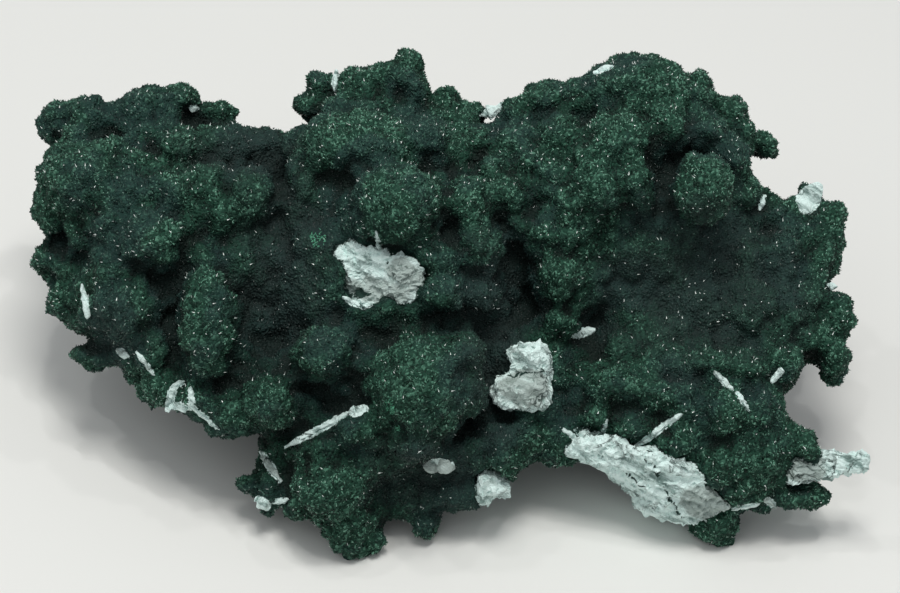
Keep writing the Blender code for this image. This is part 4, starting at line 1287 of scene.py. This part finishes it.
# The skin takes the same painted light and painted shade as the crystals.
green_use = group_node(tree, green, place, ("Hollow", "Crest", "Shaded"), Shade=cell_shade)
pale_use = group_node(tree, pale, place, ())
ragged = minus(tree, noise_node(tree, place, RAGGED_EDGE_PER_METRE, 3.0), 0.5)
ragged = plus(tree, kept_number(tree, "broken"), times(tree, ragged, 1.6))
is_broken = range_node(tree, ragged, -0.12, 0.12, 1.0, 0.0)
skin_colour = blend_node(tree, is_broken, green_use["Colour"], pale_use["Colour"])
tree.links.new(skin_colour, shader.inputs["Base Color"])
shader.inputs["Roughness"].default_value = 0.7
shader.inputs["Specular IOR Level"].default_value = 0.12
bump(tree, shader, minus(tree, 1.0, cells.outputs["Distance"]), SKIN_RELIEF)
give_only(mass, skin_material)

# %% Crystals of the coat
BLOOM_COLOUR = (0.10, 0.36, 0.22)
PAINTED_GLINT_COLOUR = (0.88, 0.95, 0.91)
crystal_material, tree, shader = material("Malachite crystals")
place = object_place(tree)
shade = kept_number(tree, "shade")
green_use = group_node(tree, green, place, ("Hollow", "Crest", "Shaded", "Shade"))
bloom = range_node(tree, kept_number(tree, "bloom"), -0.4, 0.3, 0.8, 0.0)
crystal_colour = blend_node(tree, bloom, green_use["Colour"], BLOOM_COLOUR)
# Painted highlight: the glints get a pale base colour, paler the higher their number, and only on open
# places.
painted_glint = range_node(tree, shade, SPARK - 0.004, 0.989)
painted_glint = times(tree, painted_glint, range_node(tree, green_use["Open"], 0.25, 0.8))
crystal_colour = blend_node(tree, painted_glint, crystal_colour, PAINTED_GLINT_COLOUR)
tree.links.new(crystal_colour, shader.inputs["Base Color"])
tree.links.new(range_node(tree, shade, 0.60, 0.95, 0.55, 0.10), shader.inputs["Roughness"])
tree.links.new(range_node(tree, shade, 0.80, 0.90), shader.inputs["Coat Weight"])
shader.inputs["Coat Roughness"].default_value = 0.08
shader.inputs["IOR"].default_value = 1.33
for coat in coats:
    coat.data.materials.append(crystal_material)

# %% Rock and its thin edges
ROCK_RELIEF = 0.0012
rock_material, tree, shader = material("Pale rock")
pale_use = group_node(tree, pale, object_place(tree), ("Stain", "Dust_and_shade"))
tree.links.new(pale_use["Colour"], shader.inputs["Base Color"])
shader.inputs["Roughness"].default_value = 0.9
shader.inputs["Specular IOR Level"].default_value = 0.25
bump(tree, shader, pale_use["Height"], ROCK_RELIEF)
give_only(rock, rock_material)
chips.data.materials.append(rock_material)
print("materials:", skin_material.name, "-", crystal_material.name, "-", rock_material.name)

# %% [markdown]
# ## Put the worked pieces in the solids' place
#
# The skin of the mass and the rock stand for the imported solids, so those are no longer shown.  The
# coats ride with the same body as the mass, and the thin edges with that of the rock.  Every corner is
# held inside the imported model's box, so that the part keeps its stated size.

# %% Hand over the pieces
def keep_inside(mesh):
    """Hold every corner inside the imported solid's box."""
    places, _ = arrays_of(mesh)
    mesh.vertices.foreach_set("co", np.clip(places, BOX_LOW, BOX_HIGH).ravel())
    mesh.update()


for item in (mass, rock, chips):
    keep_inside(item.data)
mass.data.polygons.foreach_set("use_smooth", np.ones(len(mass.data.polygons), dtype=bool))
for item in (rock, chips):
    item.data.polygons.foreach_set("use_smooth", np.zeros(len(item.data.polygons), dtype=bool))
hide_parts("malachite")
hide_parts("matrix")
for item in [mass] + coats:
    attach(item, "root")
for item in (rock, chips):
    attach(item, "root")
